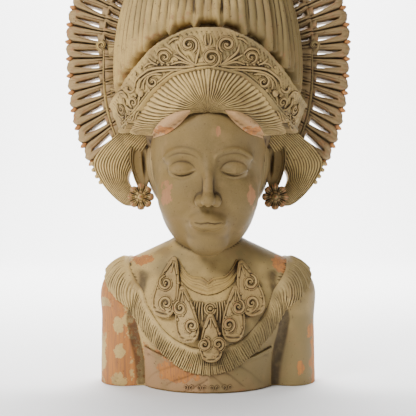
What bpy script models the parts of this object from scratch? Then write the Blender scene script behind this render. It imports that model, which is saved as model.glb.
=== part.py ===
"""Carved wooden bust: a woman's head and shoulders under a pierced fan crown, cut from one block.

Metres, +Z up. The origin is in the middle of the flat underside, and the face looks along -Y.
The forms of the torso are drawn in millimetres for shoulders 264 mm across, and the forms of the
head, its hair and its ornaments in millimetres above the chin for a head 208 mm high.
"""

import math

import bmesh
import bpy
import numpy as np

SHOULDER_WIDTH = 0.264  # across both arms, under the shoulders
CHIN_LIFT = 0.157  # chin above the flat underside
HEAD_HEIGHT = 0.208  # chin to the top of the skull
FAN_RADIUS = 0.179  # middle of the fan to the loop ends beside it
FAN_THICKNESS = 0.040  # front to back of the outer loops
FAN_FRONT = 0.022  # front of the outer loops behind the neck's axis
LOOP_COUNT = 38  # loops round the fan
LOOP_LENGTH = 0.031  # slot of an outer loop, end to end
LOOP_END = 0.009  # wood between a slot's tip and the outline
SLOT_SHARE = 0.50  # slot width at its wide end, as a share of the loop's width
SLOT_TIP_SHARE = 0.12  # slot width at its outer tip
BEAD_NOTCH = 0.0045  # dip of the outline between two loops
GROOVE_DEPTH = 0.006  # groove between two loops
FAN_ROUNDING = 0.005  # loop ends drawn back from both faces
INNER_LOOP_LENGTH = 0.060  # bar of an inner loop, from the border into the core
INNER_STEP = 0.007  # inner loops stand forward of the outer ones by this
SIDE_LEAF_WIDTH = 0.050
VEIN_COUNT = 7  # veins of each side leaf
VEIN_DEPTH = 0.0025
VEIN_SLANT = math.radians(6)
COLLAR_RAISE = 0.0065  # pleat crests above the chest
PLEAT_COUNT = 56  # pleats round the whole collar
PLEAT_DEPTH = 0.0030
PENDANT_THICKNESS = 0.008
SCROLL_RAISE = 0.0035  # carved scrolls above their ground
SCROLL_STEPS = 8
DIADEM_THICKNESS = 0.038  # front of the diadem to its back, inside the core
LEAF_RAISE = 0.009  # feather leaves above the crown's core
STRAND_DEPTH = 0.0028  # combed strands above the furrows between them
STUD_RADIUS = 0.0165
STUD_THICKNESS = 0.012
CLOTH_RAISE = 0.0025  # chest cloth above the skin
DIADEM_BORDER_RAISE = 0.0025  # border along the diadem's lower edge
DIADEM_SCROLL_BURIED = 0.003  # foot of a diadem scroll under its ground
PENDANT_SCROLL_BURIED = 0.0045  # foot of a pendant scroll under its ground
NECK_RING_RAISE = 0.003
HAIR_ROOT_LIFT = -0.003  # front hair at its roots, against the drawn surface
HAIR_GROWN_LIFT = 0.002  # front hair where it meets the diadem
FRONT_HAIR_DEPTH = 0.018  # front hair into the head

BODY_MM = SHOULDER_WIDTH / 264  # one drawn millimetre of the torso
HEAD_MM = HEAD_HEIGHT / 208  # one drawn millimetre of the head
KEPT_SHARE = 0.70  # share of the joined body's triangles that is kept, the flattest given up first
BURIED = 0.006  # depth to which an applied form runs into what carries it
COLLAR_BURIED = 0.014  # the same for the collar, whose pleats span wider facets

# Chest, as height, half width, depth to the front and depth to the back.
CHEST = (
    (-40, 84, 76, 58), (0, 85, 80, 60), (40, 90, 84, 64), (80, 102, 83, 68), (105, 108, 72, 66),
    (125, 100, 56, 60), (140, 70, 44, 54), (152, 45, 38, 48), (165, 38, 36, 42), (260, 36, 36, 38),
)
# Arm, and slope from neck to shoulder: start, end and both radii. Shoulder: middle and half sizes.
ARM = ((103, 3, -60), (99, 3, 108), 31.5, 33)
ARM_FLATNESS = 0.78
SHOULDER = ((97, 4, 108), (35.5, 46, 42))
SLOPE = ((34, 4, 149), (92, 3, 123), 30, 29)
SLOPE_FLATNESS = 0.75
CHEST_SOFT, ARM_SOFT, TRUNK_SOFT = 8, 6, 5
TORSO_HEIGHTS = (0, 22, 48, 74, 98, 116, 129, 138, 146, 153, 161, 171, 184, 215)
COLLAR_MIDDLE_HEIGHT = 92  # point from which the collar's edges are drawn onto the torso
# Collar edges from the breastbone over the shoulder to the spine.
COLLAR_OUTER = (
    (0, -88, 18), (30, -87, 22), (57, -80, 38), (79, -68, 59), (95, -52, 84), (108, -34, 112),
    (122, 2, 138), (108, 40, 126), (74, 62, 104), (36, 70, 94), (0, 72, 90),
)
COLLAR_INNER = (
    (0, -78, 54), (16, -77, 56), (38, -70, 66), (60, -58, 88), (74, -40, 115), (84, -20, 138),
    (95, 4, 152), (80, 34, 144), (54, 48, 132), (27, 54, 126), (0, 56, 124),
)
# Forms of the head: middle, half sizes and softness of the join. Each is mirrored in x.
HEAD_FORMS = (
    ((0, 4, 132), (72, 90, 76), 1),  # skull
    ((0, -20, 78), (61, 66, 77), 22),  # face
    ((0, -34, 148), (58, 57, 46), 14),  # forehead
    ((34, -54, 70), (24, 24, 25), 14),  # cheek
    ((0, -62, 17), (22, 20, 16), 12),  # chin
    ((0, -72, 42), (24, 17, 20), 10),  # muzzle
    ((27, -72, 117), (25, 10, 7), 8),  # brow
)
EYE_HOLLOW = ((29, -93, 106), (18, 14, 11), 6)
EYELID = ((30, -70, 103), (16.5, 12.5, 10), 2.5)
NOSE_BRIDGE = ((0, -82, 112), (0, -103, 67), 5, 8.5)
NOSE_BRIDGE_SOFT = 7
NOSE_TIP = ((0, -105, 66), (9.5, 9, 8), 4)
NOSE_WING = ((10.5, -95, 65), (6.5, 9, 6.5), 3)
UPPER_LIP = ((7, -88, 45), (15, 6, 3.8), 2)
LOWER_LIP = ((4, -88, 35.5), (15, 6.5, 4.8), 2)
HEAD_MIDDLE = (0, -12, 100)

# Crown core behind the diadem: an egg with its own front and back depth.
CORE_MIDDLE = (0, 18, 238)
CORE_HALF = (104, 84, 158)
CORE_BACK = 50
# Diadem edges, as distance from the middle and height.
DIADEM_LOW = ((0, 217), (23, 214), (41, 209), (54, 200), (66, 190), (80, 174), (94, 161), (109, 150))
DIADEM_TOP = (
    (0, 264), (20, 263), (35, 258), (49, 252), (66, 242), (81, 228), (93, 216), (104, 202), (115, 190),
    (122, 184),
)
DIADEM_LOW_STAND = 5  # lower edge of the diadem outside the widest line of the core
DIADEM_TOP_STAND = 18  # upper edge of the diadem outside that line
DIADEM_HALF_LOW = CORE_HALF[0] + DIADEM_LOW_STAND
DIADEM_HALF_TOP = CORE_HALF[0] + DIADEM_TOP_STAND
DRAWN_HALF_LOW = DIADEM_LOW[-1][0]  # widths for which both edges are drawn
DRAWN_HALF_TOP = DIADEM_TOP[-1][0]
DIADEM_FRONT_LOW, DIADEM_FRONT_TOP = 94, 98
DIADEM_MEAN_RADIUS = 108
DIADEM_TURN = math.radians(85)  # half of the turn that the diadem makes round the head
# Scrolls of the diadem: distance along the band, height, radius and turning sense.
DIADEM_SCROLLS = (
    (0, 232, 11, 1), (22, 245, 9, -1), (48, 234, 8, 1), (68, 206, 11, -1), (94, 190, 8, 1),
    (116, 178, 9, -1),
)
BACK_HAIR_MIDDLE = (0, 20, 118)
BACK_HAIR_HALF = (79, 78, 84)
# Lower tips of the feather leaves: turn round the core in degrees and height, outermost first.
LEAF_TIPS = ((80, 205), (55, 229), (40, 243), (23, 260), (8, 267))
LEAF_TURN = 14  # half width of a leaf, in degrees round the core
LEAF_TOP_SHARE = 0.97  # height at which the leaves end, as a share of the core's upper half

FAN_MIDDLE_HEIGHT = 250  # point that all loops aim at
FAN_LOWEST = math.radians(-42)  # lowest loops below the level of that point
FAN_UPPER_GAIN = 20 / 179  # growth of the outline towards the top, as a share of the radius
FAN_LOWER_GAIN = 52 / 179  # growth of the outline towards the lowest loops
INNER_TIER_LOWEST = math.radians(8)

# Side hair behind each ear: inner edge and outer edge, top to curl, as x, y and height.
HAIR_LOBE_INNER = (
    (70, 22, 146), (79, 22, 130), (90, 20, 116), (99, 18, 104), (101, 14, 94), (97, 8, 85), (90, 4, 80),
)
HAIR_LOBE_OUTER = (
    (153, 30, 133), (149, 28, 116), (140, 24, 98), (131, 20, 80), (119, 16, 66), (105, 10, 58), (92, 6, 59),
)
LOBE_CREST = 7
LOBE_BACK = 30
LOBE_STRANDS = 4

EAR_MIDDLE = (85, 4, 112)
EAR_HALF = (12, 33)
STUD_MIDDLE = (83.5, -4, 72)
# Hairline from the parting to the temple: x, y and height.
HAIRLINE = (
    (0, -87, 166), (18, -85, 168), (38, -76, 160), (56, -60, 149), (70, -40, 144), (84, -22, 146),
    (100, -10, 152),
)
HAIR_INSET = 4  # ends of the front hair inside the diadem's lower edge
FRONT_STRANDS = 9

# Pendants: top x, top height, bottom x, bottom height, half width near the bottom.
PENDANTS = (
    (-41, 156, -56, 90, 13.5), (40, 152, 56, 92, 13.5), (-26, 124, -19, 60, 12), (23, 120, 28, 64, 12),
    (2, 84, 3, 37, 11),
)
PENDANT_SCROLL = 7
DIADEM_SCROLL_WIDTH, PENDANT_SCROLL_WIDTH = 3.4, 3.0
# Ring round the foot of the neck: distance from the middle and height.
NECK_RING = ((0, 119), (12, 120), (22, 126), (30, 136), (36, 150))
NECK_RING_HALF = 5


def body_point(x, y, z):
    return np.stack(np.broadcast_arrays(x, y, z), axis=-1) * BODY_MM


def head_point(x, y, z):
    return np.stack(np.broadcast_arrays(x, y, z), axis=-1) * HEAD_MM + np.array((0, 0, CHIN_LIFT))


def smooth_value(knots, x):
    """Value at x on a smooth curve through knots of position and value, level past both ends."""
    knots = np.asarray(knots, float)
    place, value = knots[:, 0], knots[:, 1:]
    slope = np.gradient(value, place, axis=0)
    x = np.clip(x, place[0], place[-1])
    i = np.clip(np.searchsorted(place, x, side="right") - 1, 0, len(place) - 2)
    gap = (place[i + 1] - place[i])[..., None]
    t = (x - place[i])[..., None] / gap
    found = (
        (2 * t**3 - 3 * t**2 + 1) * value[i]
        + (t**3 - 2 * t**2 + t) * gap * slope[i]
        + (3 * t**2 - 2 * t**3) * value[i + 1]
        + (t**3 - t**2) * gap * slope[i + 1]
    )
    return found[..., 0] if value.shape[1] == 1 else found


def smooth_path(points, t):
    """Point at t from 0 to 1 on a smooth curve through points spaced evenly in t."""
    points = np.asarray(points, float)
    knots = np.column_stack([np.linspace(0, 1, len(points)), points])
    return smooth_value(knots, t)


def egg(p, middle, half):
    """Rough distance from points to an ellipsoid, negative inside."""
    q = (p - np.array(middle, float)) / np.array(half, float)
    near = np.linalg.norm(q, axis=-1)
    return near * (near - 1) / np.maximum(np.linalg.norm(q / np.array(half, float), axis=-1), 1e-9)


def limb(p, start, end, radius_start, radius_end):
    """Distance from points to a tapered round bar, negative inside."""
    start, end = np.array(start, float), np.array(end, float)
    along = end - start
    t = np.clip(((p - start) @ along) / (along @ along), 0, 1)
    radius = radius_start + (radius_end - radius_start) * t
    return np.linalg.norm(p - start - t[..., None] * along, axis=-1) - radius


def join(a, b, soft):
    """Union of two distances with a soft fillet."""
    h = np.clip(0.5 + 0.5 * (b - a) / soft, 0, 1)
    return b + (a - b) * h - soft * h * (1 - h)


def body_form(p):
    """Rough distance to the torso and neck, for points in metres."""
    q = p / BODY_MM
    q = np.concatenate([np.abs(q[..., :1]), q[..., 1:]], axis=-1)
    half, front, back = np.moveaxis(smooth_value(CHEST, q[..., 2]), -1, 0)
    depth = np.where(q[..., 1] < 0, front, back)
    round_share = np.hypot(q[..., 0] / half, q[..., 1] / depth)
    chest = (round_share - 1) * np.minimum(half, depth)
    arm = limb(q * (1, ARM_FLATNESS, 1), *ARM)
    shoulder = egg(q, *SHOULDER)
    slope = limb(q * (1, SLOPE_FLATNESS, 1), *SLOPE)
    trunk = join(join(chest, slope, CHEST_SOFT), join(arm, shoulder, ARM_SOFT), TRUNK_SOFT)
    return trunk * BODY_MM


def head_form(p):
    """Rough distance to the bare head, for points in metres."""
    q = (p - np.array((0, 0, CHIN_LIFT))) / HEAD_MM
    q = np.concatenate([np.abs(q[..., :1]), q[..., 1:]], axis=-1)
    found = egg(q, *HEAD_FORMS[0][:2])
    for middle, half, soft in HEAD_FORMS[1:]:
        found = join(found, egg(q, middle, half), soft)
    middle, half, soft = EYE_HOLLOW
    found = -join(-found, egg(q, middle, half), soft)
    found = join(found, egg(q, *EYELID[:2]), EYELID[2])
    found = join(found, limb(q, *NOSE_BRIDGE), NOSE_BRIDGE_SOFT)
    for middle, half, soft in (NOSE_TIP, NOSE_WING, UPPER_LIP, LOWER_LIP):
        found = join(found, egg(q, middle, half), soft)
    return found * HEAD_MM


def reach(form, start, direction, far):
    """Outermost distance along each direction at which a form's surface lies."""
    steps = 60
    t = np.full(direction.shape[:-1], float(far))
    inside = np.zeros(t.shape, bool)
    for _ in range(steps):
        inside |= form(start + direction * t[..., None]) < 0
        t = np.where(inside, t, t - far / steps)
    low, high = t, t + far / steps
    for _ in range(16):
        middle = (low + high) / 2
        within = form(start + direction * middle[..., None]) < 0
        low, high = np.where(within, middle, low), np.where(within, high, middle)
    return low


def onto(form, middle, guide, lift):
    """Moves guide points along rays from a middle onto a form, then out by a lift."""
    direction = guide - middle
    direction = direction / np.linalg.norm(direction, axis=-1, keepdims=True)
    far = 400 * BODY_MM
    return middle + direction * (reach(form, middle, direction, far) + lift)[..., None]


def from_front(form, x, z, lift):
    """Points on the front of a form at places in the front view, raised towards the viewer."""
    start = np.stack(np.broadcast_arrays(x, 0.0, z), axis=-1)
    direction = np.broadcast_to((0.0, -1.0, 0.0), start.shape)
    distance = reach(form, start, direction, 200 * BODY_MM)
    return start + direction * (distance + lift)[..., None]


def add_piece(name, bm):
    """Keeps a closed mesh as one of the forms that the carving is joined from."""
    bmesh.ops.recalc_face_normals(bm, faces=bm.faces)
    if bm.calc_volume(signed=True) < 0:
        bmesh.ops.reverse_faces(bm, faces=bm.faces)
    mesh = bpy.data.meshes.new(name)
    bm.to_mesh(mesh)
    bm.free()
    piece = bpy.data.objects.new(name, mesh)
    piece.hide_render = True
    piece.display_type = "WIRE"
    FORMS.objects.link(piece)
    return piece


def slab(name, columns, rows, front, back, is_hole=None):
    """A sheet of columns by rows, thickened between two surfaces given as functions of u and v."""
    bm = bmesh.new()
    bmesh.ops.create_grid(bm, x_segments=columns, y_segments=rows, size=0.5)
    place = {v: (v.co.x + 0.5, v.co.y + 0.5) for v in bm.verts}
    if is_hole:
        middles = {f: f.calc_center_median() for f in bm.faces}
        holes = [f for f, middle in middles.items() if is_hole(middle.x + 0.5, middle.y + 0.5)]
        bmesh.ops.delete(bm, geom=holes, context="FACES")
    base = list(bm.verts)
    u, v = np.array([place[vert] for vert in base]).T
    extruded = bmesh.ops.extrude_face_region(bm, geom=list(bm.faces))["geom"]
    top = [item for item in extruded if isinstance(item, bmesh.types.BMVert)]
    top_u, top_v = np.array([(vert.co.x + 0.5, vert.co.y + 0.5) for vert in top]).T
    for vert, co in zip(base + top, [*back(u, v), *front(top_u, top_v)]):
        vert.co = co
    return add_piece(name, bm)


def loft(name, rings):
    """A closed skin over a stack of rings that have as many points each."""
    bm = bmesh.new()
    layers = [[bm.verts.new(co) for co in ring] for ring in rings]
    count = len(layers[0])
    for lower, upper in zip(layers, layers[1:]):
        for i in range(count):
            k = (i + 1) % count
            bm.faces.new((lower[i], lower[k], upper[k], upper[i]))
    bm.faces.new(layers[0])
    bm.faces.new(layers[-1])
    return add_piece(name, bm)


def make_torso():
    """Chest, arms, shoulders and neck, as rings round an upright axis."""
    count = 32
    turn = 2 * math.pi * np.arange(count) / count - math.pi
    turn = turn - 0.3 * np.sin(turn)
    direction = np.stack([np.sin(turn), -np.cos(turn), np.zeros(count)], axis=-1)
    rings = []
    for height in TORSO_HEIGHTS:
        middle = np.array((0, 0, height * BODY_MM))
        distance = reach(body_form, middle, direction, 190 * BODY_MM)
        rings.append(middle + direction * distance[:, None])
    loft("torso", rings)


def make_head():
    """Bare head: a globe whose points are drawn out to the head's form, closer spaced on the face."""
    closer = ((-90, -90), (-60, -50), (-30, -26), (0, -7), (30, 12), (60, 42), (90, 90))
    bm = bmesh.new()
    bmesh.ops.create_uvsphere(bm, u_segments=34, v_segments=24, radius=1)
    ways = np.array([v.co for v in bm.verts])
    turn = np.arctan2(ways[:, 0], -ways[:, 1])
    turn = turn - 0.58 * np.sin(turn)
    tilt = np.radians(smooth_value(closer, np.degrees(np.arcsin(np.clip(ways[:, 2], -1, 1)))))
    ways = np.stack([np.cos(tilt) * np.sin(turn), -np.cos(tilt) * np.cos(turn), np.sin(tilt)], axis=-1)
    middle = head_point(*HEAD_MIDDLE)
    distance = reach(head_form, middle, ways, 160 * HEAD_MM)
    for vert, co in zip(bm.verts, middle + ways * distance[:, None]):
        vert.co = co
    add_piece("head", bm)


def make_egg(name, middle, half, back, columns, rows):
    """An upright egg with a back depth of its own."""
    bm = bmesh.new()
    bmesh.ops.create_uvsphere(bm, u_segments=columns, v_segments=rows, radius=1)
    for vert in bm.verts:
        x, y, z = vert.co
        depth = back if y > 0 else half[1]
        vert.co = head_point(middle[0] + x * half[0], middle[1] + y * depth, middle[2] + z * half[2])
    add_piece(name, bm)


def make_core():
    """Core of the crown, and the smooth hair at the back of the head under it."""
    make_egg("core", CORE_MIDDLE, CORE_HALF, CORE_BACK, 16, 8)
    make_egg("back_hair", BACK_HAIR_MIDDLE, BACK_HAIR_HALF, BACK_HAIR_HALF[1], 14, 8)


def core_point(turn, height, lift):
    """Point of the core's front at a turn round its axis and a height, raised by a lift."""
    up = np.clip((height - CORE_MIDDLE[2]) / CORE_HALF[2], -1, 1)
    wide = np.sqrt(1 - up**2)
    out = lift / HEAD_MM
    x = CORE_MIDDLE[0] + (CORE_HALF[0] * wide + out) * np.sin(turn)
    y = CORE_MIDDLE[1] - (CORE_HALF[1] * wide + out) * np.cos(turn)
    return head_point(x, y, height + out * up)


def make_leaves():
    """Feather leaves that hang from the crown's top and end in points over the diadem."""
    top = CORE_MIDDLE[2] + CORE_HALF[2] * LEAF_TOP_SHARE
    least_width = 0.06

    for side in (-1, 1):
        for i, (tip_turn, tip_height) in enumerate(LEAF_TIPS):

            def leaf(u, v, lift, side=side, tip_turn=tip_turn, tip_height=tip_height):
                across = (u - 0.5) * 2
                width = np.clip((v / 0.3) ** 0.8, least_width, 1)
                turn = np.radians(side * tip_turn + across * width * LEAF_TURN)
                climb = np.sin(v * math.pi / 2) ** 0.9
                height = tip_height + (top - tip_height) * climb
                return core_point(turn, height, lift)

            lift = LEAF_RAISE * (1 + 0.35 * (i % 2))

            def front(u, v, leaf=leaf, lift=lift):
                crease = np.where(np.abs(u - 0.5) < 0.1, LEAF_RAISE * 0.7, 0)
                return leaf(u, v, lift + crease * (1 - 0.5 * v))

            def back(u, v, leaf=leaf):
                return leaf(u, v, np.full(u.shape, -BURIED))

            slab(f"leaf_{side}_{i}", 2, 3, front, back)


def fan_outline(turn):
    """Distance from the fan's middle to its outline at an angle above level, for either side."""
    rise = np.sin(turn)
    gain = np.where(rise > 0, FAN_UPPER_GAIN * rise, FAN_LOWER_GAIN * rise**2)
    return FAN_RADIUS * (1 + gain)


def fan_point(turn, distance, y):
    """Point of the fan at an angle above level, measured from the right-hand side."""
    middle = head_point(0, 0, FAN_MIDDLE_HEIGHT)
    x = middle[0] + distance * np.cos(turn)
    z = middle[2] + distance * np.sin(turn)
    return np.stack(np.broadcast_arrays(x, y, z), axis=-1)


def loop_stations(first, last, count, shares):
    """Angles of the columns of a row of loops, and each column's place in its loop."""
    pitch = (last - first) / count
    turns = [first + pitch * (i + share) for i in range(count) for share in shares]
    places = [share for _ in range(count) for share in shares]
    return np.array(turns + [last]), np.array(places + [0.0]), pitch


def make_fan():
    """Both rows of loops: radial bars from the core to the outline, with slots that taper outwards."""
    edge = 0.5 - SLOT_SHARE / 2
    shares = (0.0, edge, 1 - edge)
    turns, places, pitch = loop_stations(FAN_LOWEST, math.pi - FAN_LOWEST, LOOP_COUNT, shares)
    columns, rows = len(turns) - 1, 4

    def bands(u, v):
        i = np.rint(u * columns).astype(int)
        row = np.rint(v * rows).astype(int)
        place, turn = places[i], turns[i]
        outline = fan_outline(turn)
        slot_end = outline - LOOP_END
        slot_start = slot_end - LOOP_LENGTH
        border = slot_start - LOOP_END
        lobe = np.where(place == 0, -BEAD_NOTCH, 0)
        distance = np.choose(row, [border - INNER_LOOP_LENGTH, border, slot_start, slot_end, outline + lobe])
        narrow = np.where((place > 0) & (row >= 3), (0.5 - place) * (1 - SLOT_TIP_SHARE / SLOT_SHARE), 0)
        return turn + narrow * pitch, distance, place, row

    def front(u, v):
        turn, distance, place, row = bands(u, v)
        groove = np.where((place == 0) & (row >= 2), GROOVE_DEPTH, 0)
        depth = np.choose(row, [-INNER_STEP, -INNER_STEP, 0.0, 0.0, FAN_ROUNDING])
        return fan_point(turn, distance, FAN_FRONT + groove + depth)

    def back(u, v):
        turn, distance, _, row = bands(u, v)
        return fan_point(turn, distance, FAN_FRONT + FAN_THICKNESS - np.where(row == 4, FAN_ROUNDING, 0))

    def is_slot(u, v):
        column, row = int(u * columns), int(v * rows)
        turn = turns[column] + 0.5 * pitch * SLOT_SHARE
        inner = row == 0 and INNER_TIER_LOWEST < turn < math.pi - INNER_TIER_LOWEST
        return column % len(shares) == 1 and (inner or row == 2)

    slab("fan", columns, rows, front, back, is_slot)


def make_side_leaves():
    """Veined leaf beside each end of the diadem, filling the fan down to the side hair."""
    columns = 2 * VEIN_COUNT
    first = FAN_LOWEST - math.radians(2)
    last = INNER_TIER_LOWEST + math.radians(1)

    for side in (-1, 1):

        def place(u, v, side=side):
            turn = first + (last - first) * u
            border = fan_outline(turn) - 1.7 * LOOP_END - LOOP_LENGTH
            distance = border - SIDE_LEAF_WIDTH * (1 - v)
            slant = VEIN_SLANT * (v - 0.5) * np.sin(math.pi * u)
            turn = turn + slant
            return np.where(side > 0, turn, math.pi - turn), distance

        def front(u, v):
            turn, distance = place(u, v)
            vein = np.where(np.rint(u * columns).astype(int) % 2 == 1, VEIN_DEPTH, 0)
            return fan_point(turn, distance, FAN_FRONT - 2 * INNER_STEP + INNER_STEP * v + vein)

        def back(u, v):
            turn, distance = place(u, v)
            return fan_point(turn, distance, FAN_FRONT + FAN_THICKNESS - 0.5 * INNER_STEP)

        slab(f"side_leaf_{side}", columns, 1, front, back)


def diadem_point(turn, share, lift):
    """Point of the diadem's front at a turn round the head and a share of its height."""
    half = DIADEM_HALF_LOW + (DIADEM_HALF_TOP - DIADEM_HALF_LOW) * share
    deep = DIADEM_FRONT_LOW + (DIADEM_FRONT_TOP - DIADEM_FRONT_LOW) * share
    way = np.abs(np.sin(turn))
    low = smooth_value(DIADEM_LOW, way * DRAWN_HALF_LOW)
    top = smooth_value(DIADEM_TOP, way * DRAWN_HALF_TOP)
    out = lift / HEAD_MM
    x = (half + out) * np.sin(turn)
    y = -(deep + out) * np.cos(turn)
    return head_point(x, y, low + (top - low) * share)


def make_diadem():
    """Crescent band over the forehead, with a raised border along its lower edge."""
    border_rows = ((0.0, 0.4), (0.13, 1.0), (0.17, 0.0), (1.0, 0.0))
    columns, rows = 20, len(border_rows) - 1
    shares, raised = np.array(border_rows).T

    def front(u, v):
        row = np.rint(v * rows).astype(int)
        return diadem_point((u - 0.5) * 2 * DIADEM_TURN, shares[row], raised[row] * DIADEM_BORDER_RAISE)

    def back(u, v):
        row = np.rint(v * rows).astype(int)
        return diadem_point((u - 0.5) * 2 * DIADEM_TURN, shares[row], np.full(u.shape, -DIADEM_THICKNESS))

    slab("diadem", columns, rows, front, back)


def scroll(name, place, radius, sense, thick, deep):
    """A spiral ridge laid on a surface: place maps x, y and lift to a point."""
    turns = 1.35
    t = np.linspace(0, 1, SCROLL_STEPS + 1)
    angle = sense * 2 * math.pi * turns * t - math.pi / 2
    reach_out = radius * (1 - 0.80 * t)
    middle = np.stack([reach_out * np.cos(angle), reach_out * np.sin(angle)], axis=-1)
    outward = np.stack([np.cos(angle), np.sin(angle)], axis=-1)
    half = thick / 2 * (1 - 0.35 * t)
    rings = []
    for centre, way, width in zip(middle, outward, half):
        inner, outer = centre - way * width, centre + way * width
        corners = [(*inner, -deep), (*outer, -deep), (*centre, SCROLL_RAISE)]
        rings.append([place(*corner) for corner in corners])
    loft(name, rings)


def make_diadem_scrolls():
    """Scrolls carved on the diadem, mirrored about its middle."""
    for side in (-1, 1):
        for i, (along, height, radius, sense) in enumerate(DIADEM_SCROLLS):
            if along == 0 and side < 0:
                continue

            def place(x, y, lift, side=side, along=along, height=height):
                turn = side * (along + x) / DIADEM_MEAN_RADIUS
                way = abs(math.sin(turn))
                low = float(smooth_value(DIADEM_LOW, np.array(way * DRAWN_HALF_LOW)))
                top = float(smooth_value(DIADEM_TOP, np.array(way * DRAWN_HALF_TOP)))
                return diadem_point(turn, (height + y - low) / (top - low), lift)

            name = f"diadem_scroll_{side}_{i}"
            scroll(name, place, radius, sense, DIADEM_SCROLL_WIDTH, DIADEM_SCROLL_BURIED)


def front_hair(u, v, lift):
    """Combed hair from the parting (v=0) to the diadem (v=1), middle (u=0) to temple (u=1)."""
    turn = u * DIADEM_TURN
    x = (DIADEM_HALF_LOW - HAIR_INSET) * np.sin(turn)
    y = -(DIADEM_FRONT_LOW - HAIR_INSET) * np.cos(turn)
    z = smooth_value(DIADEM_LOW, np.sin(turn) * DRAWN_HALF_LOW) + HAIR_INSET
    combed = np.stack([x, y, z], axis=-1)
    first, last = combed_end(0.0), combed_end(1.0)
    hairline = smooth_path(HAIRLINE, v)
    root = np.array(HAIRLINE[0], float)
    parting = root + (first - root) * v[..., None]
    side = hairline + (last - np.array(HAIRLINE[-1], float)) * v[..., None] ** 4
    u, v = u[..., None], v[..., None]
    found = (1 - u) * parting + u * side + v * (combed - (1 - u) * first - u * last)
    outward = found * (1, 1, 0)
    outward = outward / np.maximum(np.linalg.norm(outward, axis=-1, keepdims=True), 1e-6)
    swell = 7 * np.sin(math.pi * v) * (1 - 0.6 * u)
    return found + outward * (swell + (lift / HEAD_MM)[..., None])


def combed_end(u):
    """End of a combed strand under the diadem's lower edge."""
    turn = u * DIADEM_TURN
    low = float(smooth_value(DIADEM_LOW, np.array(math.sin(turn) * DRAWN_HALF_LOW)))
    x = (DIADEM_HALF_LOW - HAIR_INSET) * math.sin(turn)
    return np.array((x, -(DIADEM_FRONT_LOW - HAIR_INSET) * math.cos(turn), low + HAIR_INSET))


def make_front_hair():
    """Ridged locks between the hairline and the diadem, on both sides of the parting."""
    columns, rows = 4 * FRONT_STRANDS, 3
    root_gap = 0.14

    def placed(u, v, lift):
        across = 2 * u - 1
        q = front_hair(np.abs(across), root_gap + (1 - root_gap) * v, lift)
        return head_point(np.sign(across) * q[..., 0], q[..., 1], q[..., 2])

    def front(u, v):
        crest = np.rint(u * columns).astype(int) % 2 == 1
        grown = np.sin(math.pi / 2 * v)
        lift = HAIR_ROOT_LIFT + (HAIR_GROWN_LIFT - HAIR_ROOT_LIFT) * grown
        return placed(u, v, lift + np.where(crest, STRAND_DEPTH, 0.0) * grown)

    def back(u, v):
        return placed(u, v, np.full(u.shape, -FRONT_HAIR_DEPTH))

    slab("front_hair", columns, rows, front, back)


def make_side_hair():
    """Lock behind each ear that sweeps out and curls back to the ear stud."""
    columns, rows = 2 * LOBE_STRANDS, 6

    for side in (-1, 1):

        def place(u, v, y_shift, side=side):
            inner = smooth_path(HAIR_LOBE_INNER, v)
            outer = smooth_path(HAIR_LOBE_OUTER, v)
            q = inner + (outer - inner) * u[..., None]
            return head_point(side * q[..., 0], q[..., 1] + y_shift, q[..., 2])

        def front(u, v):
            ridge = np.where(np.rint(u * columns).astype(int) % 2 == 1, -2.4, 0.0)
            return place(u, v, -LOBE_CREST * np.sin(math.pi * np.clip(u, 0.08, 0.92)) + ridge)

        def back(u, v):
            return place(u, v, LOBE_BACK * (1 - 0.45 * v))

        slab(f"side_hair_{side}", columns, rows, front, back)


def make_ears():
    """Long ears with a raised rim, turned to the front."""
    for side in (-1, 1):

        def place(u, v, y, side=side):
            angle = 2 * math.pi * u
            lean = 2.5 * np.sin(angle)
            x = EAR_MIDDLE[0] + EAR_HALF[0] * v * np.cos(angle) + lean * v
            z = EAR_MIDDLE[2] + EAR_HALF[1] * v * np.sin(angle)
            return head_point(side * x, EAR_MIDDLE[1] + y, z)

        rings = []
        count = 12
        u = np.arange(count) / count
        for share, y in ((0.8, 14), (1.0, 0), (0.84, -5), (0.66, -1)):
            rings.append(place(u, share, y))
        loft(f"ear_{side}", rings)


def make_studs():
    """Flower stud in each ear lobe: eight petals round a button."""
    petals = 8
    count = 2 * petals
    angle = 2 * math.pi * np.arange(count) / count
    petal = np.where(np.arange(count) % 2 == 0, 1.0, 0.84)
    for side in (-1, 1):
        middle = head_point(side * STUD_MIDDLE[0], STUD_MIDDLE[1], STUD_MIDDLE[2])
        rings = []
        for share, deep, wavy in ((0.9, 0.5, 1), (1.0, -0.25, 1), (0.34, -0.4, 0), (0.2, -0.8, 0)):
            radius = STUD_RADIUS * share * (petal if wavy else 1)
            x, z = radius * np.cos(angle), radius * np.sin(angle)
            y = np.full(count, deep * STUD_THICKNESS)
            rings.append(middle + np.stack([x, y, z], axis=-1))
        loft(f"stud_{side}", rings)


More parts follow.
